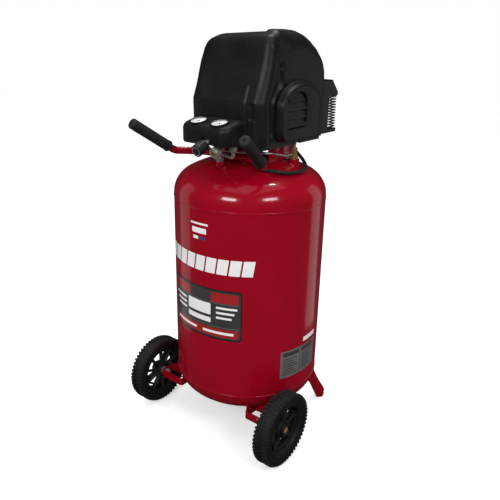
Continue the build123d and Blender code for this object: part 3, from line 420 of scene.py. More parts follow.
def lathe(name, outline, origin, direction, segments=96, degrees=35.0):
    """A turned mesh from a millimetre outline."""
    verts, faces = placed(lathe_points(outline, origin, direction, segments))
    return mesh_from(name, verts, faces, degrees)


def placed(solid):
    """A (vertices, faces) pair moved from millimetres to the frame's metres."""
    verts, faces = solid
    return [place(*v) for v in verts], faces


def band(ring, count):
    """Quads between one closed ring of points and the next, where each ring has count points."""
    low, high = ring * count, (ring + 1) * count
    faces = []
    for step in range(count):
        after = (step + 1) % count
        faces.append((low + step, low + after, high + after, high + step))
    return faces


def bar_solid(near, far):
    """A solid between two matching outlines, which are lists of points in metres."""
    sides = len(near)
    faces = [tuple(range(sides)), tuple(range(2 * sides - 1, sides - 1, -1))]
    return [*near, *far], faces + band(0, sides)


def joined(name, parts, degrees=35.0):
    """One mesh from several (vertices in metres, faces) lists."""
    verts, faces = [], []
    for part_verts, part_faces in parts:
        start = len(verts)
        verts.extend(part_verts)
        faces.extend([tuple(start + i for i in face) for face in part_faces])
    return mesh_from(name, verts, faces, degrees, merge=False)


def rounded_outline(outline, radius, steps=4):
    """An open (r, h) outline with the corners between its ends rounded."""
    points = [outline[0]]
    for before, here, after in zip(outline, outline[1:], outline[2:]):
        first = Vector(before) - Vector(here)
        second = Vector(after) - Vector(here)
        cut = min(radius, first.length * 0.45, second.length * 0.45)
        start = Vector(here) + first.normalized() * cut
        end = Vector(here) + second.normalized() * cut
        for step in range(steps + 1):
            t = step / steps
            bend = start * (1 - t) ** 2 + Vector(here) * 2 * t * (1 - t) + end * t * t
            points.append(tuple(bend))
    points.append(outline[-1])
    return points


def ease(obj, width, degrees):
    """Rounds a piece's edges that are sharper than an angle."""
    bevel = obj.modifiers.new("ease", "BEVEL")
    bevel.width = width * MM
    bevel.segments = 2
    bevel.limit_method = "ANGLE"
    bevel.angle_limit = math.radians(degrees)


def ramp(value, low, high):
    """Smooth step from 0 at low to 1 at high."""
    t = min(max((value - low) / (high - low), 0.0), 1.0)
    return t * t * (3 - 2 * t)


def bump_at(value, centre, half_width):
    """Smooth bump of height 1."""
    t = abs(value - centre) / half_width
    return 0.0 if t >= 1 else math.cos(t * math.pi / 2) ** 2


def window(value, low, high, soft):
    """1 between two values, with soft sides."""
    half = soft / 2
    return ramp(value, low - half, low + half) * (1 - ramp(value, high - half, high + half))


def softened_copy(node, width, degrees=28.0):
    """The CAD node's mesh with clean faces and rounded edges."""
    source = frame["nodes"][node].data
    bm = bmesh.new()
    for vertex in source.vertices:
        bm.verts.new(vertex.co)
    bm.verts.ensure_lookup_table()
    for polygon in source.polygons:
        corners = [bm.verts[i] for i in polygon.vertices]
        try:
            bm.faces.new(corners)
        except ValueError:
            continue
    bmesh.ops.remove_doubles(bm, verts=bm.verts, dist=2e-6)
    bmesh.ops.dissolve_limit(bm, angle_limit=math.radians(0.6), verts=bm.verts, edges=bm.edges)
    limit = math.radians(degrees)
    sharp = [e for e in bm.edges if len(e.link_faces) == 2 and e.calc_face_angle(0.0) > limit]
    bmesh.ops.bevel(bm, geom=sharp, offset=width * MM, offset_type="OFFSET", segments=2,
                    profile=0.5, affect="EDGES", clamp_overlap=True)
    mesh = bpy.data.meshes.new(node + "_soft")
    bm.to_mesh(mesh)
    bm.free()
    smooth_by_angle(mesh, 40.0)
    return mesh


# ---- Carried-over CAD nodes ---------------------------------------------------------------------
def finish_nodes():
    """Every CAD node that stays in sight gets its finish, and hard edges are eased."""
    for finish_name, node_names in FINISH_NODES.items():
        for node in node_names:
            finish = FINISH[finish_name]
            if node in SOFT_EDGE:
                mesh = softened_copy(node, SOFT_EDGE[node])
                add_object(node + "_eased", mesh, finish, BODY_OF[node], [node])
                continue
            obj = frame["nodes"][node]
            obj.data.materials.clear()
            obj.data.materials.append(finish)


finish_nodes()


# ---- Tank ---------------------------------------------------------------------------------------
def head_arc(head, edge_z, up, steps_knuckle=14, steps_crown=26):
    """Points (r, z) of a dished head from the shell's edge to the pole."""
    crown, knuckle = head
    tangent = math.asin((TANK_R - knuckle) / (crown - knuckle))
    depth = crown - math.sqrt((crown - knuckle) ** 2 - (TANK_R - knuckle) ** 2)
    centre = edge_z + up * (depth - crown)
    points = []
    for step in range(steps_knuckle):
        angle = math.pi / 2 + (tangent - math.pi / 2) * step / steps_knuckle
        radius = TANK_R - knuckle + knuckle * math.sin(angle)
        points.append((radius, edge_z + up * knuckle * math.cos(angle)))
    for step in range(steps_crown + 1):
        angle = tangent * (1 - step / steps_crown)
        points.append((crown * math.sin(angle), centre + up * crown * math.cos(angle)))
    return points


def bead(height):
    """A weld bead's (r, z) outline where it stands out of the shell."""
    points = []
    for step in range(9):
        angle = -math.pi / 2 + math.pi * step / 8
        points.append((TANK_R + SEAM_R * math.cos(angle), height + SEAM_HALF * math.sin(angle)))
    return points


def make_tank():
    """Tank: shell, dished heads and weld beads in one turned skin, and three pipe bosses."""
    low = list(reversed(head_arc(HEAD_LOW, SHELL_Z0, -1)))
    high = head_arc(HEAD_TOP, SHELL_Z1, 1)
    seams = [SHELL_Z0 - SEAM_INSET, SHELL_Z1 - SEAM_INSET]
    low = [p for p in low if p[1] < seams[0] - 4]
    rise = [(TANK_R, z) for z in range(180, 660, 30)]
    outline = low + bead(seams[0]) + rise + bead(seams[1]) + high
    parts = [placed(lathe_points(outline, (0, 0, 0), (0, 0, 1), 224))]
    for (x, y, top), radius in ((INLET, 15.0), (OUTLET, 11.0)):
        boss = [(7.5, top), (radius, top), (radius, top - 15), (radius + 3, top - 26)]
        parts.append(placed(lathe_points(rounded_outline(boss, 2.0), (x, y, 0), (0, 0, 1), 48)))
    boss = [(7.2, 62), (15, 62), (15, 68), (20, 74)]
    parts.append(placed(lathe_points(rounded_outline(boss, 1.5), (0, 0, 0), (0, 0, 1), 48)))
    mesh = joined("tank_shell", parts, 50.0)
    bm = bmesh.new()
    bm.from_mesh(mesh)
    bmesh.ops.remove_doubles(bm, verts=bm.verts, dist=1e-7)
    bm.to_mesh(mesh)
    bm.free()
    add_piece("tank_shell", mesh, "red_paint", "frame", "tank")


make_tank()


# ---- Printed graphics on the tank ---------------------------------------------------------------
def decal(name, spans, lift, material):
    """Thin patches on the tank: each is (angle low, angle high, z low, z high, corner, slant).

    Angles are degrees from the front towards +X. The corner is rounded by that many millimetres,
    and slant shifts the patch's upper edge sideways by that many millimetres.
    """
    parts = []
    for low, high, z0, z1, corner, slant in spans:
        width = math.radians(high - low) * TANK_R
        columns = max(int(width / 2.0), 6)
        stations = set(width * i / columns for i in range(columns + 1))
        if corner:
            for i in range(7):
                reach = corner * (1 - math.cos(math.pi / 2 * i / 6))
                stations.add(reach)
                stations.add(width - reach)
        verts, faces = [], []
        for count, along in enumerate(sorted(stations)):
            inward = max(corner - min(along, width - along), 0.0)
            cut = corner - math.sqrt(max(corner * corner - inward * inward, 0.0)) if corner else 0.0
            for z in (z0 + cut, z1 - cut):
                shift = slant * (z - z0) / (z1 - z0)
                angle = math.radians(low) + (along + shift) / TANK_R
                radius = TANK_R + lift
                verts.append(place(radius * math.sin(angle), -radius * math.cos(angle), z))
            if count:
                base = 2 * count
                faces.append((base - 2, base, base + 1, base - 1))
        parts.append((verts, faces))
    add_object(name, joined(name, parts, 60.0), material, "frame")


def row(start, widths, gap, z0, z1, corner=1.0, slant=0.0):
    """Patches side by side, given by their widths in degrees."""
    spans, angle = [], start
    for width in widths:
        spans.append((angle, angle + width, z0, z1, corner, slant))
        angle += width + gap
    return spans


def make_graphics():
    """Plain panels, bars and stripes: front label, slanted band, badge and side plate."""
    decal("label_border", [(-34, 34, 325, 466, 10, 0)], 0.20, PRINT_DARK)
    decal("label_field", [(-33, 33, 329, 462, 8, 0)], 0.32, PRINT_GREY)
    decal("label_accents", [(10, 31.5, 430, 457, 3, 0), (-31.5, -10, 430, 457, 3, 0),
                            (-31.5, 31.5, 333, 356, 3, 0)], 0.44, PRINT_RED)
    bars = [(-12, 10, 392, 424, 2, 0), (-12, 10, 370, 384, 2, 0)]
    for side in (-1, 1):
        for count, z in enumerate((418, 404, 390)):
            near, far = 14.5, 30.5 - 2.0 * count
            low, high = (near, far) if side > 0 else (-far, -near)
            bars.append((low, high, z - 5, z + 1, 1, 0))
    bars += [(-28, -3, 341, 348, 1, 0), (3, 28, 341, 348, 1, 0)]
    decal("label_bars", bars, 0.56, PRINT_WHITE)
    decal("label_rules", [(-31.5, 31.5, 360, 361.6, 0, 0), (-31.5, 31.5, 427, 428.4, 0, 0)], 0.5,
          PRINT_SILVER)

    decal("band", row(-41.0, [8.0] * 9, 1.25, 508, 549, 1.5, 6.0), 0.25, PRINT_WHITE)

    badge = [(-8, 8, 628, 633, 1, 0), (-6.5, 6.5, 606, 620, 1.5, 0), (-5.5, -0.6, 590, 598, 1, 0)]
    decal("badge_white", badge, 0.25, PRINT_WHITE)
    decal("badge_blue", [(0.6, 5.5, 590, 598, 1, 0)], 0.25, PRINT_BLUE)

    decal("plate_field", [(64, 103, 204, 285, 2, 0)], 0.22, PRINT_SILVER)
    lines = [(66, 81.5, 268, 280, 1, 0), (84.5, 101, 268, 280, 1, 0), (82.6, 83.2, 206, 283, 0, 0)]
    for index in range(7):
        z = 212 + index * 7.6
        lines.append((66, 80.0 - (index % 3) * 2.0, z, z + 3.2, 0, 0))
        lines.append((85, 99.0 - (index % 2) * 3.0, z, z + 3.2, 0, 0))
    decal("plate_lines", lines, 0.34, PRINT_GREY)
    decal("plate_tag", [(86, 103, 295, 308, 1.5, 0)], 0.22, PRINT_WHITE)


make_graphics()


# ---- Wheels -------------------------------------------------------------------------------------
def wheel_frame(side):
    """Centre and outward axis of a wheel."""
    return (side * WHEEL_X, WHEEL_Y, WHEEL_R), (side, 0, 0)


BLOCK_FACES = [(0, 1, 3, 2), (4, 6, 7, 5), (0, 4, 5, 1), (2, 3, 7, 6), (0, 2, 6, 4), (1, 5, 7, 3)]


def block_points(origin, axis, angle, radii, heights, width, taper=0.72):
    """A tread block: eight corners between two radii and two heights along the axis."""
    across, upward = basis(axis)
    axis = Vector(axis).normalized()
    verts = []
    for radius, scale in ((radii[0], 1.0), (radii[1], taper)):
        for height in heights:
            for edge in (-1, 1):
                turn = angle + edge * width * scale / 2 / radius
                spoke = across * math.cos(turn) + upward * math.sin(turn)
                verts.append(Vector(origin) + spoke * radius + axis * height)
    return verts, BLOCK_FACES


def make_tyre(side):
    """Moulded tyre with shallow lugs, centre ribs and ringed sidewalls."""
    origin, axis = wheel_frame(side)
    half = WHEEL_W / 2
    outline = [
        (RIM_R - 1.5, -half + 5), (RIM_R + 2, -half + 2.5), (RIM_R + 6, -half + 1.2),
        (RIM_R + 8, -half + 2.0),
        (WHEEL_R - 17, -half + 0.5), (WHEEL_R - 12, -half + 0.4), (WHEEL_R - 7, -half + 2),
        (WHEEL_R - 3.2, -half + 7), (WHEEL_R - 2.2, -6.6), (WHEEL_R - 0.8, -6.0), (WHEEL_R - 0.6, -2.4),
        (WHEEL_R - 2.2, -1.9), (WHEEL_R - 2.2, 1.9), (WHEEL_R - 0.6, 2.4), (WHEEL_R - 0.8, 6.0),
        (WHEEL_R - 2.2, 6.6), (WHEEL_R - 3.2, half - 7), (WHEEL_R - 7, half - 2),
        (WHEEL_R - 12, half - 0.4), (WHEEL_R - 17, half - 0.5),
        (RIM_R + 8, half - 2.0), (RIM_R + 6, half - 1.2), (RIM_R + 2, half - 2.5),
        (RIM_R - 1.5, half - 5), (RIM_R - 1.5, -half + 5),
    ]
    parts = [placed(lathe_points(rounded_outline(outline, 1.6, 3), origin, axis, 144))]
    for index in range(LUGS):
        for edge in (-1, 1):
            angle = 2 * math.pi * (index + (0.5 if edge > 0 else 0)) / LUGS
            low, high = sorted((edge * 8.2, edge * (half - 5.5)))
            top = block_points(origin, axis, angle, (WHEEL_R - 5, WHEEL_R - 0.05), (low, high), 7.6)
            low, high = sorted((edge * (half - 8.5), edge * (half - 0.9)))
            shoulder = block_points(origin, axis, angle, (WHEEL_R - 10, WHEEL_R - 2.6), (low, high), 7.2)
            parts += [placed(top), placed(shoulder)]
    mesh = joined("tyre", parts, 38.0)
    name = "right" if side > 0 else "left"
    obj = add_piece(f"tyre_{name}_moulded", mesh, "tyre_rubber", f"wheel_{name}", f"tyre_{name}")
    ease(obj, 0.5, 38)


def kidney(radius_in, radius_out, angle, half_angle, steps=10, corner=5.0):
    """A kidney-shaped pocket's outline in polar (radius, angle), with rounded corners."""
    points = []
    far, near = radius_out - corner, radius_in + corner
    for quarter, (centre_r, side) in enumerate(((far, 1), (far, -1), (near, -1), (near, 1))):
        centre_a = side * (half_angle - corner / centre_r)
        for step in range(steps):
            turn = math.pi / 2 * (quarter + step / (steps - 1))
            sideways = corner * math.cos(turn)
            points.append((centre_r + corner * math.sin(turn), angle + centre_a + sideways / centre_r))
    return points


def make_rim(side):
    """Rim: barrel, dished web with five rounded pockets, ribs behind it, and a sunk hub."""
    origin, axis = wheel_frame(side)
    across, upward = basis(axis)
    axis_vector = Vector(axis)
    half = WHEEL_W / 2

    def spot(radius, angle, height):
        """A point of the wheel, in metres."""
        spoke = across * math.cos(angle) + upward * math.sin(angle)
        return place(*(Vector(origin) + spoke * radius + axis_vector * height))

    barrel = [
        (RIM_R - 7, half - 13), (RIM_R - 5, half - 7), (RIM_R - 3.5, half - 5.2),
        (RIM_R + 0.5, half - 4.6), (RIM_R + 0.5, half - 6.5), (RIM_R - 1, half - 8),
        (RIM_R - 1, -half + 8), (RIM_R + 0.5, -half + 6.5),
        (RIM_R + 0.5, -half + 4.6), (RIM_R - 3.5, -half + 5.2), (RIM_R - 5, -half + 8),
        (RIM_R - 6, -2), (RIM_R - 7, half - 13),
    ]
    hub = [
        (6.5, -half + 6), (17, -half + 6), (17.6, 0), (18.5, half - 9), (17.5, half - 5.5),
        (13.5, half - 4.2), (12.2, half - 5.5), (11.8, half - 12), (6.5, half - 12), (6.5, -half + 6),
    ]
    parts = []
    for outline, segments in ((barrel, 120), (hub, 72)):
        parts.append(placed(lathe_points(rounded_outline(outline, 1.0, 3), origin, axis, segments)))

    pitch = 2 * math.pi / RIM_POCKETS
    span = 0.40 * pitch
    inner_r, outer_r = 25.0, 54.0
    hub_r, barrel_r = 17.6, RIM_R - 5.5

    def web_height(radius):
        """Height of the web's outer face, dished between the hub and the barrel."""
        return 7.0 + 4.0 * ramp(radius, 50, RIM_R - 6) + 3.0 * (1 - ramp(radius, 17, 30))

    for index in range(RIM_POCKETS):
        middle = (index + 0.5) * pitch + RIM_TURN
        pocket = kidney(inner_r, outer_r, middle, span)
        border = []
        for radius, angle in pocket:
            offset = (angle - middle) / span
            edge_angle = middle + max(-1.0, min(1.0, offset)) * pitch / 2
            toward_out = (radius - inner_r) / (outer_r - inner_r)
            edge_r = hub_r + (barrel_r - hub_r) * ramp(toward_out, 0.0, 1.0)
            border.append((edge_r, edge_angle))
        pairs = list(zip(pocket, border))
        wide = [(r * 0.35 + br * 0.65, a * 0.35 + ba * 0.65) for (r, a), (br, ba) in pairs]
        lip = [(r * 0.9 + br * 0.1, a * 0.9 + ba * 0.1) for (r, a), (br, ba) in pairs]
        levels = [
            [(r, a, web_height(r)) for r, a in border],
            [(r, a, web_height(r)) for r, a in wide],
            [(*point, web_height(r)) for point, (r, a) in zip(lip, pocket)],
            [(r, a, web_height(r) - 1.2) for r, a in pocket],
            [(r, a, -1.0) for r, a in pocket],
            [(r, a, -2.0) for r, a in lip],
            [(r, a, -2.0) for r, a in border],
        ]
        verts, faces = [], []
        for level in levels:
            verts.extend(spot(*point) for point in level)
        for ring in range(len(levels) - 1):
            faces += band(ring, len(pocket))
        parts.append((verts, faces))

    thick = 1.5
    for index in range(2 * RIM_POCKETS):
        angle = index * math.pi / RIM_POCKETS + RIM_TURN
        verts = []
        for radius in (16.5, RIM_R - 5.0):
            for height in (-half + 8, -1.2):
                for edge in (-1, 1):
                    verts.append(spot(radius, angle + edge * thick / radius, height))
        parts.append((verts, BLOCK_FACES))
    mesh = joined("rim", parts, 40.0)
    name = "right" if side > 0 else "left"
    add_piece(f"rim_{name}_moulded", mesh, "rim_plastic", f"wheel_{name}", f"rim_{name}")


for wheel_side in (-1, 1):
    make_tyre(wheel_side)
    make_rim(wheel_side)


# ---- Grips --------------------------------------------------------------------------------------
def make_grips():
    """Ribbed grips with a collar at the inner end and a small vent in the end cap."""
    parts = []
    for side in (-1, 1):
        inner = Vector((side * GRIP_INNER[0], *GRIP_INNER[1:]))
        outer = Vector((side * GRIP_OUTER[0], *GRIP_OUTER[1:]))
        length = (outer - inner).length
        outline = [(9.6, 1.5), (11, 0), (GRIP_R + 0.5, 0), (GRIP_R + 0.9, 4.5), (GRIP_R - 0.2, 6.5)]
        steps = 26
        for step in range(steps):
            z = 9 + (length - 22) * step / (steps - 1)
            outline.append((GRIP_R - (0.35 if step % 2 else 0.0), z))
        for step in range(9):
            angle = math.pi / 2 * step / 8
            outline.append((GRIP_R - 6 + 6 * math.cos(angle), length - 6 + 6 * math.sin(angle)))
        outline += [(3.2, length), (2.4, length - 0.8), (2.4, length - 3.8), (0.0, length - 3.8)]
        parts.append(placed(lathe_points(outline, inner, outer - inner, 64)))
    add_piece("grips_moulded", joined("grips", parts, 45.0), "black_rubber", "frame", "grips")


make_grips()


# ---- Hood ---------------------------------------------------------------------------------------
def resample(points, step, passes):
    """Points every few millimetres along a polyline, with its corners smoothed."""
    dense = []
    for (y0, z0), (y1, z1) in zip(points, points[1:]):
        count = max(int(math.dist((y0, z0), (y1, z1)) / step), 1)
        for index in range(count):
            t = index / count
            dense.append((y0 + (y1 - y0) * t, z0 + (z1 - z0) * t))
    dense.append(points[-1])
    for _ in range(passes):
        middle = [
            tuple((a[k] + 2 * b[k] + c[k]) / 4 for k in (0, 1))
            for a, b, c in zip(dense, dense[1:], dense[2:])
        ]
        dense = [dense[0], *middle, dense[-1]]
    return dense


def front_relief(across, z):
    """Relief of the front: crease, lowered panel, upright ridge and a small recess.

    across is the distance round the hood from its middle plane.
    """
    crease_z, half, depth = CREASE
    height = -depth * bump_at(z, crease_z, half) * window(across, -40, 60, 6)
    for rise, round_it, upright in FRONT_MARKS:
        height += rise * window(across, *round_it) * window(z, *upright)
    return height


def corner_relief(across, z):
    """Relief round the right front corner: a broad rib and the groove behind it."""
    middle, half, rise = RIB
    left_edge = 106.0 - 10.0 * (z - 924.0) / 124.0
    reach = middle - left_edge if across < middle else half
    fade = 1 - ramp(z, 1050, 1067)
    height = rise * bump_at(across, middle, reach) * fade
    groove_at = 158.0 + 18.0 * ramp(z, 860, 1010)
    return height - GROOVE[1] * bump_at(across, groove_at, GROOVE[0]) * fade * ramp(z, 822, 850)


def top_relief(x, across, y):
    """The top's slight rise to the right and the raised band on it."""
    rise = 7.0 * min(max((x + 60.0) / 140.0, 0.0), 1.0)
    left_edge = 82.0 - 38.0 * ramp(y, -45, 0)
    along = ramp(y, -54, -40) * (1 - ramp(y, 20, 90))
    return rise + HUMP * along * ramp(x, left_edge - 6, left_edge + 6) * (1 - ramp(across, 105, 122))


def hood_columns(y, z):
    """Positions round the hood at a row of it: (kind, side, t, radius) from rear left to rear right."""
    left = HOOD_LEFT_R[0] + (HOOD_LEFT_R[1] - HOOD_LEFT_R[0]) * ramp(z, 1000, 1078)
    right = HOOD_RIGHT_R[0] + (HOOD_RIGHT_R[1] - HOOD_RIGHT_R[0]) * ramp(y, -66, 10) * ramp(z, 1000, 1060)
    low, high = left - HOOD_X, HOOD_X - right
    side_steps, left_steps, flat_steps, right_steps = 34, 26, 76, 18
    columns = [("side", -1, index / side_steps, left) for index in range(side_steps, 0, -1)]
    columns += [("corner", -1, index / left_steps, left) for index in range(left_steps, 0, -1)]
    for index in range(flat_steps + 1):
        columns.append(("flat", 0, low + (high - low) * index / flat_steps, 0.0))
    columns += [("corner", 1, index / right_steps, right) for index in range(1, right_steps + 1)]
    columns += [("side", 1, index / side_steps, right) for index in range(1, side_steps + 1)]
    return columns


def hood_point(y, z, normal, column):
    """A point of the hood's skin for a place on the side profile and a column round it."""
    kind, side, t, radius = column
    turn, inset, depth = 0.0, 0.0, 0.0
    if kind == "flat":
        x, across = t, t
    elif kind == "corner":
        turn = t * math.pi / 2
        x = side * (HOOD_X - radius + radius * math.sin(turn))
        inset = radius * (1 - math.cos(turn))
        across = side * (HOOD_X - radius + radius * turn)
    else:
        turn = math.pi / 2
        x = side * HOOD_X
        inset = radius
        across = side * (HOOD_X - radius + radius * turn)
    start = Vector((y, z))
    heart = Vector((HOOD_HEART[0], min(z, HOOD_HEART[1])))
    inward = (heart - start).normalized()
    base = start + inward * inset / max(-inward.dot(normal), 0.6)
    if kind == "side":
        reach = heart - base
        depth = reach.length * t
        base = base + reach * t
        across += side * depth
    outward = Vector((math.sin(turn) * side, normal.x * math.cos(turn), normal.y * math.cos(turn)))
    height = top_relief(x, across, y) * max(normal.y, 0.0) * math.cos(turn) * ramp(z, 1000, 1045)
    if y < 0 and kind != "side":
        height += front_relief(across, z) * (1 - ramp(z, 1050, 1066))
    if y < 0 and across > 80:
        height += corner_relief(across, z)
    if side < 0 and kind == "side":
        rise, round_it, upright = LEFT_PANEL
        height += rise * window(depth, *round_it) * window(z, *upright)
    return Vector((x, base.x, base.y)) + outward * height


def make_hood():
    """Main moulding, as one skin over its side profile with corner ribs, grooves and hump."""
    profile = resample(HOOD_PROFILE, HOOD_STEP, 6)
    count = len(profile)
    verts = []
    for index, (y, z) in enumerate(profile):
        run = Vector(profile[min(index + 1, count - 1)]) - Vector(profile[max(index - 1, 0)])
        run.normalize()
        normal = Vector((-run.y, run.x))
        columns = hood_columns(y, z)
        width = len(columns)
        for column in columns:
            verts.append(place(*hood_point(y, z, normal, column)))
    faces = []
    for row_index in range(count - 1):
        for column in range(width - 1):
            a = row_index * width + column
            faces.append((a, a + 1, a + width + 1, a + width))
    mesh = mesh_from("hood", verts, faces, 55.0)
    obj = add_piece("hood_moulded", mesh, "black_plastic", "frame", "shroud_hood")
    wall = obj.modifiers.new("wall", "SOLIDIFY")
    wall.thickness = 2.4 * MM
    wall.offset = -1.0


make_hood()


# ---- Console ------------------------------------------------------------------------------------
def slope_z(y):
    """Height of the console's sloping top at a depth."""
    return CONSOLE_FRONT_TOP + (y - CONSOLE_Y[0]) * math.tan(math.radians(CONSOLE_SLOPE))


def cutter(name, outline, origin, direction, segments=64):
    """A turned solid used once in a boolean and then removed."""
    mesh = lathe(name, outline, origin, direction, segments)
    obj = bpy.data.objects.new(name, mesh)
    bpy.context.scene.collection.objects.link(obj)
    return obj


def apply_modifiers(obj):
    """Bakes an object's modifiers into its mesh."""
    graph = bpy.context.evaluated_depsgraph_get()
    mesh = bpy.data.meshes.new_from_object(obj.evaluated_get(graph))
    obj.modifiers.clear()
    obj.data = mesh


def cut(obj, tools):
    """Subtracts the tools from an object and deletes them."""
    for tool in tools:
        modifier = obj.modifiers.new("cut", "BOOLEAN")
        modifier.operation = "DIFFERENCE"
        modifier.solver = "EXACT"
        modifier.object = tool
        apply_modifiers(obj)
        bpy.data.objects.remove(tool)


def knob_direction():
    """The way the knob and the coupler point: forward and down."""
    tilt = math.radians(KNOB_TILT)
    return Vector((0.0, -math.cos(tilt), -math.sin(tilt)))


def console_outline(inset, steps=12):
    """Plan outline (x, y) of the console with rounded front corners."""
    x, y0, y1 = CONSOLE_X - inset, CONSOLE_Y[0] + inset, CONSOLE_Y[1]
    radius = max(CONSOLE_CORNER - inset, 4.0)
    points = [(-x, y1)]
    arc = [math.pi / 2 * step / steps for step in range(steps + 1)]
    for angle in arc:
        points.append((-x + radius - radius * math.cos(angle), y0 + radius - radius * math.sin(angle)))
    for angle in arc:
        points.append((x - radius + radius * math.sin(angle), y0 + radius - radius * math.cos(angle)))
    points.append((x, y1))
    return points


def make_console():
    """Console moulding: rounded block with a crowned, sloping top and recessed lower edge."""
    levels = [(4.0, "bottom", 0.0), (1.2, "bottom", 1.2), (0.0, "bottom", 4.5)]
    levels.append((0.0, "top", -CONSOLE_CROWN))
    for step in range(1, 8):
        angle = math.pi / 2 * step / 7
        inset = CONSOLE_CROWN * (1 - math.cos(angle))
        levels.append((inset, "top", -CONSOLE_CROWN + CONSOLE_CROWN * math.sin(angle)))
    verts, faces = [], []
    for inset, where, height in levels:
        for x, y in console_outline(inset):
            z = CONSOLE_BOTTOM + height if where == "bottom" else slope_z(y) + height
            verts.append(place(x, y, z))
    count = len(console_outline(0.0))
    for level in range(len(levels) - 1):
        faces += band(level, count)
    faces.append(tuple(range(count)))
    top = (len(levels) - 1) * count
    faces.append(tuple(top + i for i in range(count)))
    mesh = mesh_from("console", verts, faces, 40.0)
    obj = add_piece("console_moulded", mesh, "black_plastic", "frame", "console")
    tilt = math.radians(CONSOLE_SLOPE)
    normal = (0, -math.sin(tilt), math.cos(tilt))
    tools = []
    for index, x in enumerate((-GAUGE_X, GAUGE_X)):
        origin = (x, GAUGE_Y, slope_z(GAUGE_Y))
        inner, outer = GAUGE_R - 1.7, GAUGE_R + 1.4
        ring = [(0, -26), (inner, -26), (inner, 0.2), (outer, 2.6), (outer, 12), (0, 12)]
        tools.append(cutter(f"gauge_cut_{index}", ring, origin, normal))
    scoop = [(0, -9), (18.0, -9), (20.5, 3), (20.5, 30), (0, 30)]
    tools.append(cutter("knob_cut", scoop, KNOB_ROOT, knob_direction()))
    mouth = [(0, -14), (15.6, -14), (17.5, 3), (17.5, 40), (0, 40)]
    tools.append(cutter("coupler_cut", mouth, COUPLER_ROOT, knob_direction()))
    for side in (-1, 1):
        for index in range(3):
            x = side * (CONSOLE_X + 1.2)
            y = -166.0 + index * 9.0
            groove = [(0, 822), (2.6, 832), (2.6, 868), (0, 874)]
            tools.append(cutter(f"groove_{side}_{index}", groove, (x, y, 0), (0, 0, 1), 20))
    for x in (-CONSOLE_SEAM_X, CONSOLE_SEAM_X):
        seam = [(0, CONSOLE_BOTTOM - 6), (1.3, CONSOLE_BOTTOM - 6), (1.3, 862), (0, 863)]
        tools.append(cutter(f"seam_{x:.0f}", seam, (x, CONSOLE_Y[0] - 0.2, 0), (0, 0, 1), 16))
    cut(obj, tools)
    smooth_by_angle(obj.data, 40.0)
    ease(obj, 0.7, 40)


make_console()


# ---- Gauges -------------------------------------------------------------------------------------
def gauge_axes(x):
    """Centre, across, upward and normal of a dial."""
    tilt = math.radians(CONSOLE_SLOPE)
    centre = Vector((x, GAUGE_Y, slope_z(GAUGE_Y)))
    normal = Vector((0, -math.sin(tilt), math.cos(tilt)))
    across = Vector((1, 0, 0))
    return centre, across, normal.cross(across), normal


def numeral(text, centre, axes):
    """Flat digits, as (vertices in metres, faces), centred on a point and turned by axes."""
    curve = bpy.data.curves.new("numeral", "FONT")
    curve.body = text
    curve.size = 4.6 * MM
    curve.align_x = "CENTER"
    curve.align_y = "CENTER"
    holder = bpy.data.objects.new("numeral", curve)
    bpy.context.scene.collection.objects.link(holder)
    graph = bpy.context.evaluated_depsgraph_get()
    flat = bpy.data.meshes.new_from_object(holder.evaluated_get(graph))
    bpy.data.objects.remove(holder)
    verts = [place(*centre) + axes @ v.co for v in flat.vertices]
    return verts, [tuple(p.vertices) for p in flat.polygons]


def make_dials():
    """Tick marks and numbers on both dials."""
    parts, number_parts = [], []
    for x in (-GAUGE_X, GAUGE_X):
        centre, across, upward, normal = gauge_axes(x)
        for index in range(DIAL_TICKS):
            angle = math.radians(225 - DIAL_SWEEP * index / (DIAL_TICKS - 1))
            major = index % 5 == 0
            outer, inner = 17.4, 14.2 if major else 15.9
            half = 0.42 if major else 0.2
            spoke = across * math.cos(angle) + upward * math.sin(angle)
            sideways = upward * math.cos(angle) - across * math.sin(angle)
            verts = []
            for radius, edge in ((inner, -1), (inner, 1), (outer, 1), (outer, -1)):
                verts.append(place(*(centre + spoke * radius + sideways * edge * half + normal * 1.13)))
            parts.append((verts, [(0, 1, 2, 3)]))
            if index % 10 == 0:
                spot = centre + spoke * 10.8 + normal * 1.15
                axes = Matrix((across, upward, normal)).transposed()
                number_parts.append(numeral(str(5 * index), spot, axes))
    add_piece("dial_ticks", joined("dial_ticks", parts), "needle_black", "frame")
    add_piece("dial_numbers", joined("dial_numbers", number_parts), "needle_black", "frame")


make_dials()


# ---- Pod ----------------------------------------------------------------------------------------
def tombstone(inward, steps=28):
    """Closed outline (y, z) of the pod between its flange (0) and its flat face (1)."""
    y0 = POD_BASE_Y[0] + (POD_FACE_Y[0] - POD_BASE_Y[0]) * inward
    y1 = POD_BASE_Y[1] + (POD_FACE_Y[1] - POD_BASE_Y[1]) * inward
    z0, z1 = POD_Z[0] + 8.0 * inward, POD_Z[1] - 14.0 * inward
    radius = (y1 - y0) / 2
    rise = radius * 0.62
    spring = z1 - rise
    centre = (y0 + y1) / 2
    points = []
    for index in range(10):
        points.append((y1, z0 + (spring - z0) * index / 10))
    for index in range(steps + 1):
        angle = math.pi * index / steps
        points.append((centre + radius * math.cos(angle), spring + rise * math.sin(angle)))
    heel = 36.0 - 10.0 * inward
    for index in range(10):
        points.append((y0, spring + (z0 + heel - spring) * (index + 1) / 10))
    for index in range(1, 9):
        angle = math.pi / 2 * index / 8
        points.append((y0 + heel * (1 - math.cos(angle)), z0 + heel * (1 - math.sin(angle))))
    for index in range(1, 12):
        points.append((y0 + heel + (y1 - y0 - heel) * index / 12, z0))
    return points


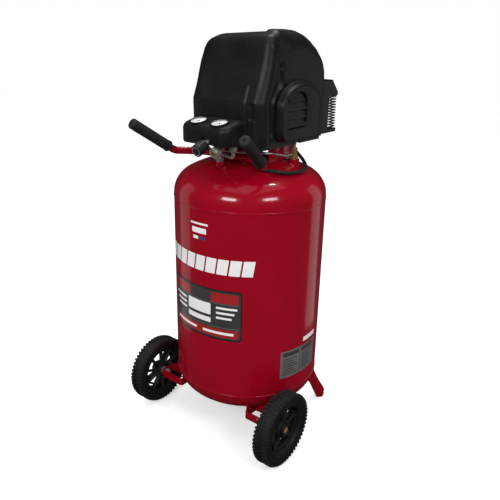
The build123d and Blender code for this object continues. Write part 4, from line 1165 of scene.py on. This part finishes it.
def make_pod():
    """Fan cover: stepped rim, flat face and an arched, louvred recess."""
    rings = [(tombstone(inward), x) for inward, x in POD_RINGS]
    count = len(rings[0][0])
    verts, faces = [], []
    for outline, x in rings:
        for y, z in outline:
            verts.append(place(x, y, z))
    centre = ((POD_MOUTH_Y[0] + POD_MOUTH_Y[1]) / 2, 894.0)

    def mouth(point, grow):
        """The recess's arched outline in the direction of a rim point."""
        dy, dz = point[0] - centre[0], point[1] - centre[1]
        length = math.hypot(dy, dz)
        dy, dz = dy / length, dz / length
        half = (POD_MOUTH_Y[1] - POD_MOUTH_Y[0]) / 2 + grow
        if dz >= 0:
            power, reach = 3.2, POD_MOUTH_Z[1] - centre[1] + grow
        else:
            power, reach = 9.0, centre[1] - POD_MOUTH_Z[0] + grow
        scale = (abs(dy / half) ** power + abs(dz / reach) ** power) ** (-1 / power)
        return centre[0] + dy * scale, centre[1] + dz * scale

    lip = ((3.0, POD_X), (0.8, POD_X - 0.5), (0.0, POD_X - 2.0), (0.0, POD_X - 9.0))
    for grow, x in lip:
        for point in rings[-1][0]:
            y, z = mouth(point, grow)
            verts.append(place(x, y, z))
    last = len(rings) + len(lip) - 1
    for ring in range(last):
        faces += band(ring, count)
    faces.append(tuple(last * count + i for i in range(count)))
    parts = [(verts, faces)]
    pitch = (POD_BLADE_Z[1] - POD_BLADE_Z[0]) / POD_BLADES
    for index in range(POD_BLADES):
        z = POD_BLADE_Z[0] + pitch * (index + 0.5)
        section = [(POD_X - 8.5, z + 8.5), (POD_X - 3.6, z - 5.0), (POD_X - 1.6, z - 7.4),
                   (POD_X - 2.2, z - 9.0), (POD_X - 8.5, z - 4.0)]
        half = 43.0 if index < POD_BLADES - 1 else 33.0
        near, far = ([place(x, y, height) for x, height in section]
                     for y in (centre[0] - half, centre[0] + half))
        parts.append(bar_solid(near, far))
    add_piece("pod_moulded", joined("pod", parts, 40.0), "black_plastic", "frame", "side_pod")


make_pod()


# ---- Exhaust cage -------------------------------------------------------------------------------
def prism(outline, low, high):
    """A solid from a (y, z) outline between two distances along X."""
    near, far = ([place(x, y, z) for y, z in outline] for x in (low, high))
    return bar_solid(near, far)


def slat(z, height, thick, corner=9.0):
    """A bar that runs along one side, round the back and along the other side."""
    rear = CAGE_Y[2]
    path = [(-CAGE_X, CAGE_Y[1] - 2)]
    for side in (-1, 1):
        for step in range(7):
            angle = math.pi / 2 * step / 6
            turn = angle if side < 0 else math.pi / 2 - angle
            path.append((side * (CAGE_X - corner + corner * math.cos(turn)),
                         rear - corner + corner * math.sin(turn)))
    path.append((CAGE_X, CAGE_Y[1] - 2))
    rings = []
    for index, point in enumerate(path):
        run = Vector(path[min(index + 1, len(path) - 1)]) - Vector(path[max(index - 1, 0)])
        run.normalize()
        inward = Vector((run.y, -run.x)) * thick
        inner = Vector(point) + inward
        rings.append([(*point, z), (*inner, z), (*inner, z + height), (*point, z + height)])
    verts = [place(*corner_point) for ring in rings for corner_point in ring]
    faces = [(0, 1, 2, 3), tuple(4 * (len(rings) - 1) + i for i in (3, 2, 1, 0))]
    for index in range(len(rings) - 1):
        faces += band(index, 4)
    return verts, faces


def make_cage():
    """Exhaust cage: side panels, sloping roof and slats that wrap round the rear corners."""
    start, comb, rear = CAGE_Y
    low, high = CAGE_Z
    side_panel = [(start, low), (comb, low), (comb, 916), (rear - 1, 916), (rear, 925), (209, high),
                  (start, high)]
    roof = [(160, high), (209, high), (rear, 925), (rear - 1, 916), (rear - 4, 916), (rear - 4, 924),
            (207.6, high - 3), (160, high - 3)]
    floor = [(160, low), (rear - 1, low), (rear, low + 10), (rear - 4, low + 10), (rear - 4, low + 3),
             (160, low + 3)]
    foot = [(comb, low), (rear - 1, low), (rear, low + 10), (comb, low + 10)]
    parts = [prism(roof, -CAGE_X, CAGE_X), prism(floor, -CAGE_X, CAGE_X)]
    post = [(rear - 5, low + 3), (rear - 3, low + 3), (rear - 3, 924), (rear - 5, 924)]
    parts.append(prism(post, -3, 3))
    for side in (-1, 1):
        inner, outer = sorted((side * (CAGE_X - 3), side * CAGE_X))
        parts.append(prism(side_panel, inner, outer))
        parts.append(prism(foot, inner, outer))
    pitch = (916.0 - low - 10) / SLATS
    for index in range(SLATS):
        parts.append(slat(low + 10 + pitch * (index + 0.5), 3.1, 2.8))
    obj = add_piece("cage_moulded", joined("cage", parts, 40.0), "black_plastic", "frame", "rear_cage")
    ease(obj, 0.5, 40)


make_cage()


# ---- Motor lead ---------------------------------------------------------------------------------
def make_lead():
    """The lead that hangs over the tank's shoulder between two bushings."""
    curve = bpy.data.curves.new("motor_lead_flex", "CURVE")
    curve.dimensions = "3D"
    spline = curve.splines.new("NURBS")
    spline.points.add(len(LEAD_ROUTE) - 1)
    for point, (x, y, z) in zip(spline.points, LEAD_ROUTE):
        point.co = (*place(x, y, z), 1.0)
    spline.order_u = 3
    spline.use_endpoint_u = True
    spline.resolution_u = 10
    curve.bevel_depth = LEAD_R * MM
    curve.bevel_resolution = 6
    curve.use_fill_caps = True
    obj = add_piece("motor_lead_flex", curve, "lead_rubber", "frame", "motor_lead")


make_lead()


# ---- Knob ring ----------------------------------------------------------------------------------
def make_knob_ring():
    """Bright ring in the recess of the knob's end face."""
    outline = [(9.5, -0.9), (9.5, 0.1), (9.9, 0.35), (11.1, 0.35), (11.5, 0.1), (11.5, -0.9), (9.5, -0.9)]
    origin = Vector(KNOB_ROOT) + knob_direction() * (KNOB_END - 0.1)
    mesh = lathe("knob_ring", outline, origin, knob_direction(), 64)
    add_piece("knob_ring", mesh, "zinc", "knob")


make_knob_ring()


# ---- Stage and light ----------------------------------------------------------------------------
FLOOR_HALF = 9.0                 # half the floor's side, in metres


def make_stage():
    """A pale, wide floor that lights and mirrors in the object less than it looks to the camera."""
    material = shade("floor_paper", (0.93, 0.93, 0.93), (0.90, 0.90, 0.90), 0.7, 0.05,
                     patch=2.0, grain=60, bump=0.02, Emission_Color=(1.0, 1.0, 1.0, 1.0),
                     Emission_Strength=0.42)
    nodes, links = material.node_tree.nodes, material.node_tree.links
    seen = nodes.new("ShaderNodeLightPath")
    dimmed = nodes.new("ShaderNodeBsdfDiffuse")
    fill = nodes.new("ShaderNodeMix")
    fill.data_type = "RGBA"
    fill.inputs["A"].default_value = (0.30, 0.29, 0.29, 1)
    fill.inputs["B"].default_value = (0.03, 0.03, 0.03, 1)
    links.new(seen.outputs["Is Glossy Ray"], fill.inputs["Factor"])
    links.new(fill.outputs["Result"], dimmed.inputs["Color"])
    chosen = nodes.new("ShaderNodeMixShader")
    links.new(seen.outputs["Is Camera Ray"], chosen.inputs["Fac"])
    links.new(dimmed.outputs["BSDF"], chosen.inputs[1])
    links.new(nodes["Principled BSDF"].outputs["BSDF"], chosen.inputs[2])
    links.new(chosen.outputs["Shader"], nodes["Material Output"].inputs["Surface"])
    half = FLOOR_HALF
    verts = [(-half, -half, 0), (half, -half, 0), (half, half, 0), (-half, half, 0)]
    mesh = mesh_from("floor", verts, [(0, 1, 2, 3)])
    floor = bpy.data.objects.new("floor", mesh)
    floor.data.materials.append(material)
    bpy.context.scene.collection.objects.link(floor)


def area_light(name, spot, size, power):
    """A soft box at a spot in millimetres from the tank's axis, aimed at the object."""
    data = bpy.data.lights.new(name, "AREA")
    data.shape = "RECTANGLE"
    data.size, data.size_y = size
    data.energy = power
    light = bpy.data.objects.new(name, data)
    light.location = place(*spot)
    aim = place(*LIGHT_AIM) - place(*spot)
    light.rotation_mode = "QUATERNION"
    light.rotation_quaternion = aim.to_track_quat("-Z", "Y")
    bpy.context.scene.collection.objects.link(light)


LIGHTS = [                       # name, spot, size in metres, watts
    ("left_bank", (-663, -345, 560), (0.32, 1.1), 0.4),
    ("right_bank", (470, 620, 560), (0.32, 1.1), 0.55),
    ("top", (0, -200, 2900), (2.4, 2.4), 9),
    ("window_left", (260, -2427, 2000), (0.9, 0.45), 20),
    ("window_right", (2202, -826, 2144), (0.9, 0.45), 17),
    ("strip_left", (-327, 367, 2800), (0.5, 0.14), 9),
    ("strip_right", (49, 775, 2800), (0.5, 0.14), 9),
]
LIGHT_AIM = (0, 0, 650)
WORLD_SEEN = 1.0                 # strength of the studio walls to the camera,
WORLD_DIFFUSE = 0.72             # as a light,
WORLD_GLOSSY = 0.018             # and in reflections


def make_light():
    """Bright even walls, dimmer to reflections, and the soft boxes of LIGHTS."""
    world = bpy.data.worlds.new("studio")
    world.use_nodes = True
    nodes, links = world.node_tree.nodes, world.node_tree.links
    background = nodes["Background"]
    background.inputs["Color"].default_value = (1.0, 1.0, 1.0, 1)
    seen = nodes.new("ShaderNodeLightPath")
    total = None
    for output, share in (("Is Camera Ray", WORLD_SEEN - WORLD_GLOSSY),
                          ("Is Diffuse Ray", WORLD_DIFFUSE - WORLD_GLOSSY)):
        step = nodes.new("ShaderNodeMath")
        step.operation = "MULTIPLY_ADD"
        step.inputs[1].default_value = share
        step.inputs[2].default_value = WORLD_GLOSSY
        links.new(seen.outputs[output], step.inputs[0])
        if total:
            links.new(total, step.inputs[2])
        total = step.outputs["Value"]
    links.new(total, background.inputs["Strength"])
    bpy.context.scene.world = world
    for name, spot, size, power in LIGHTS:
        area_light(name, spot, size, power)
    bpy.context.scene.view_settings.view_transform = "Standard"


make_stage()
make_light()
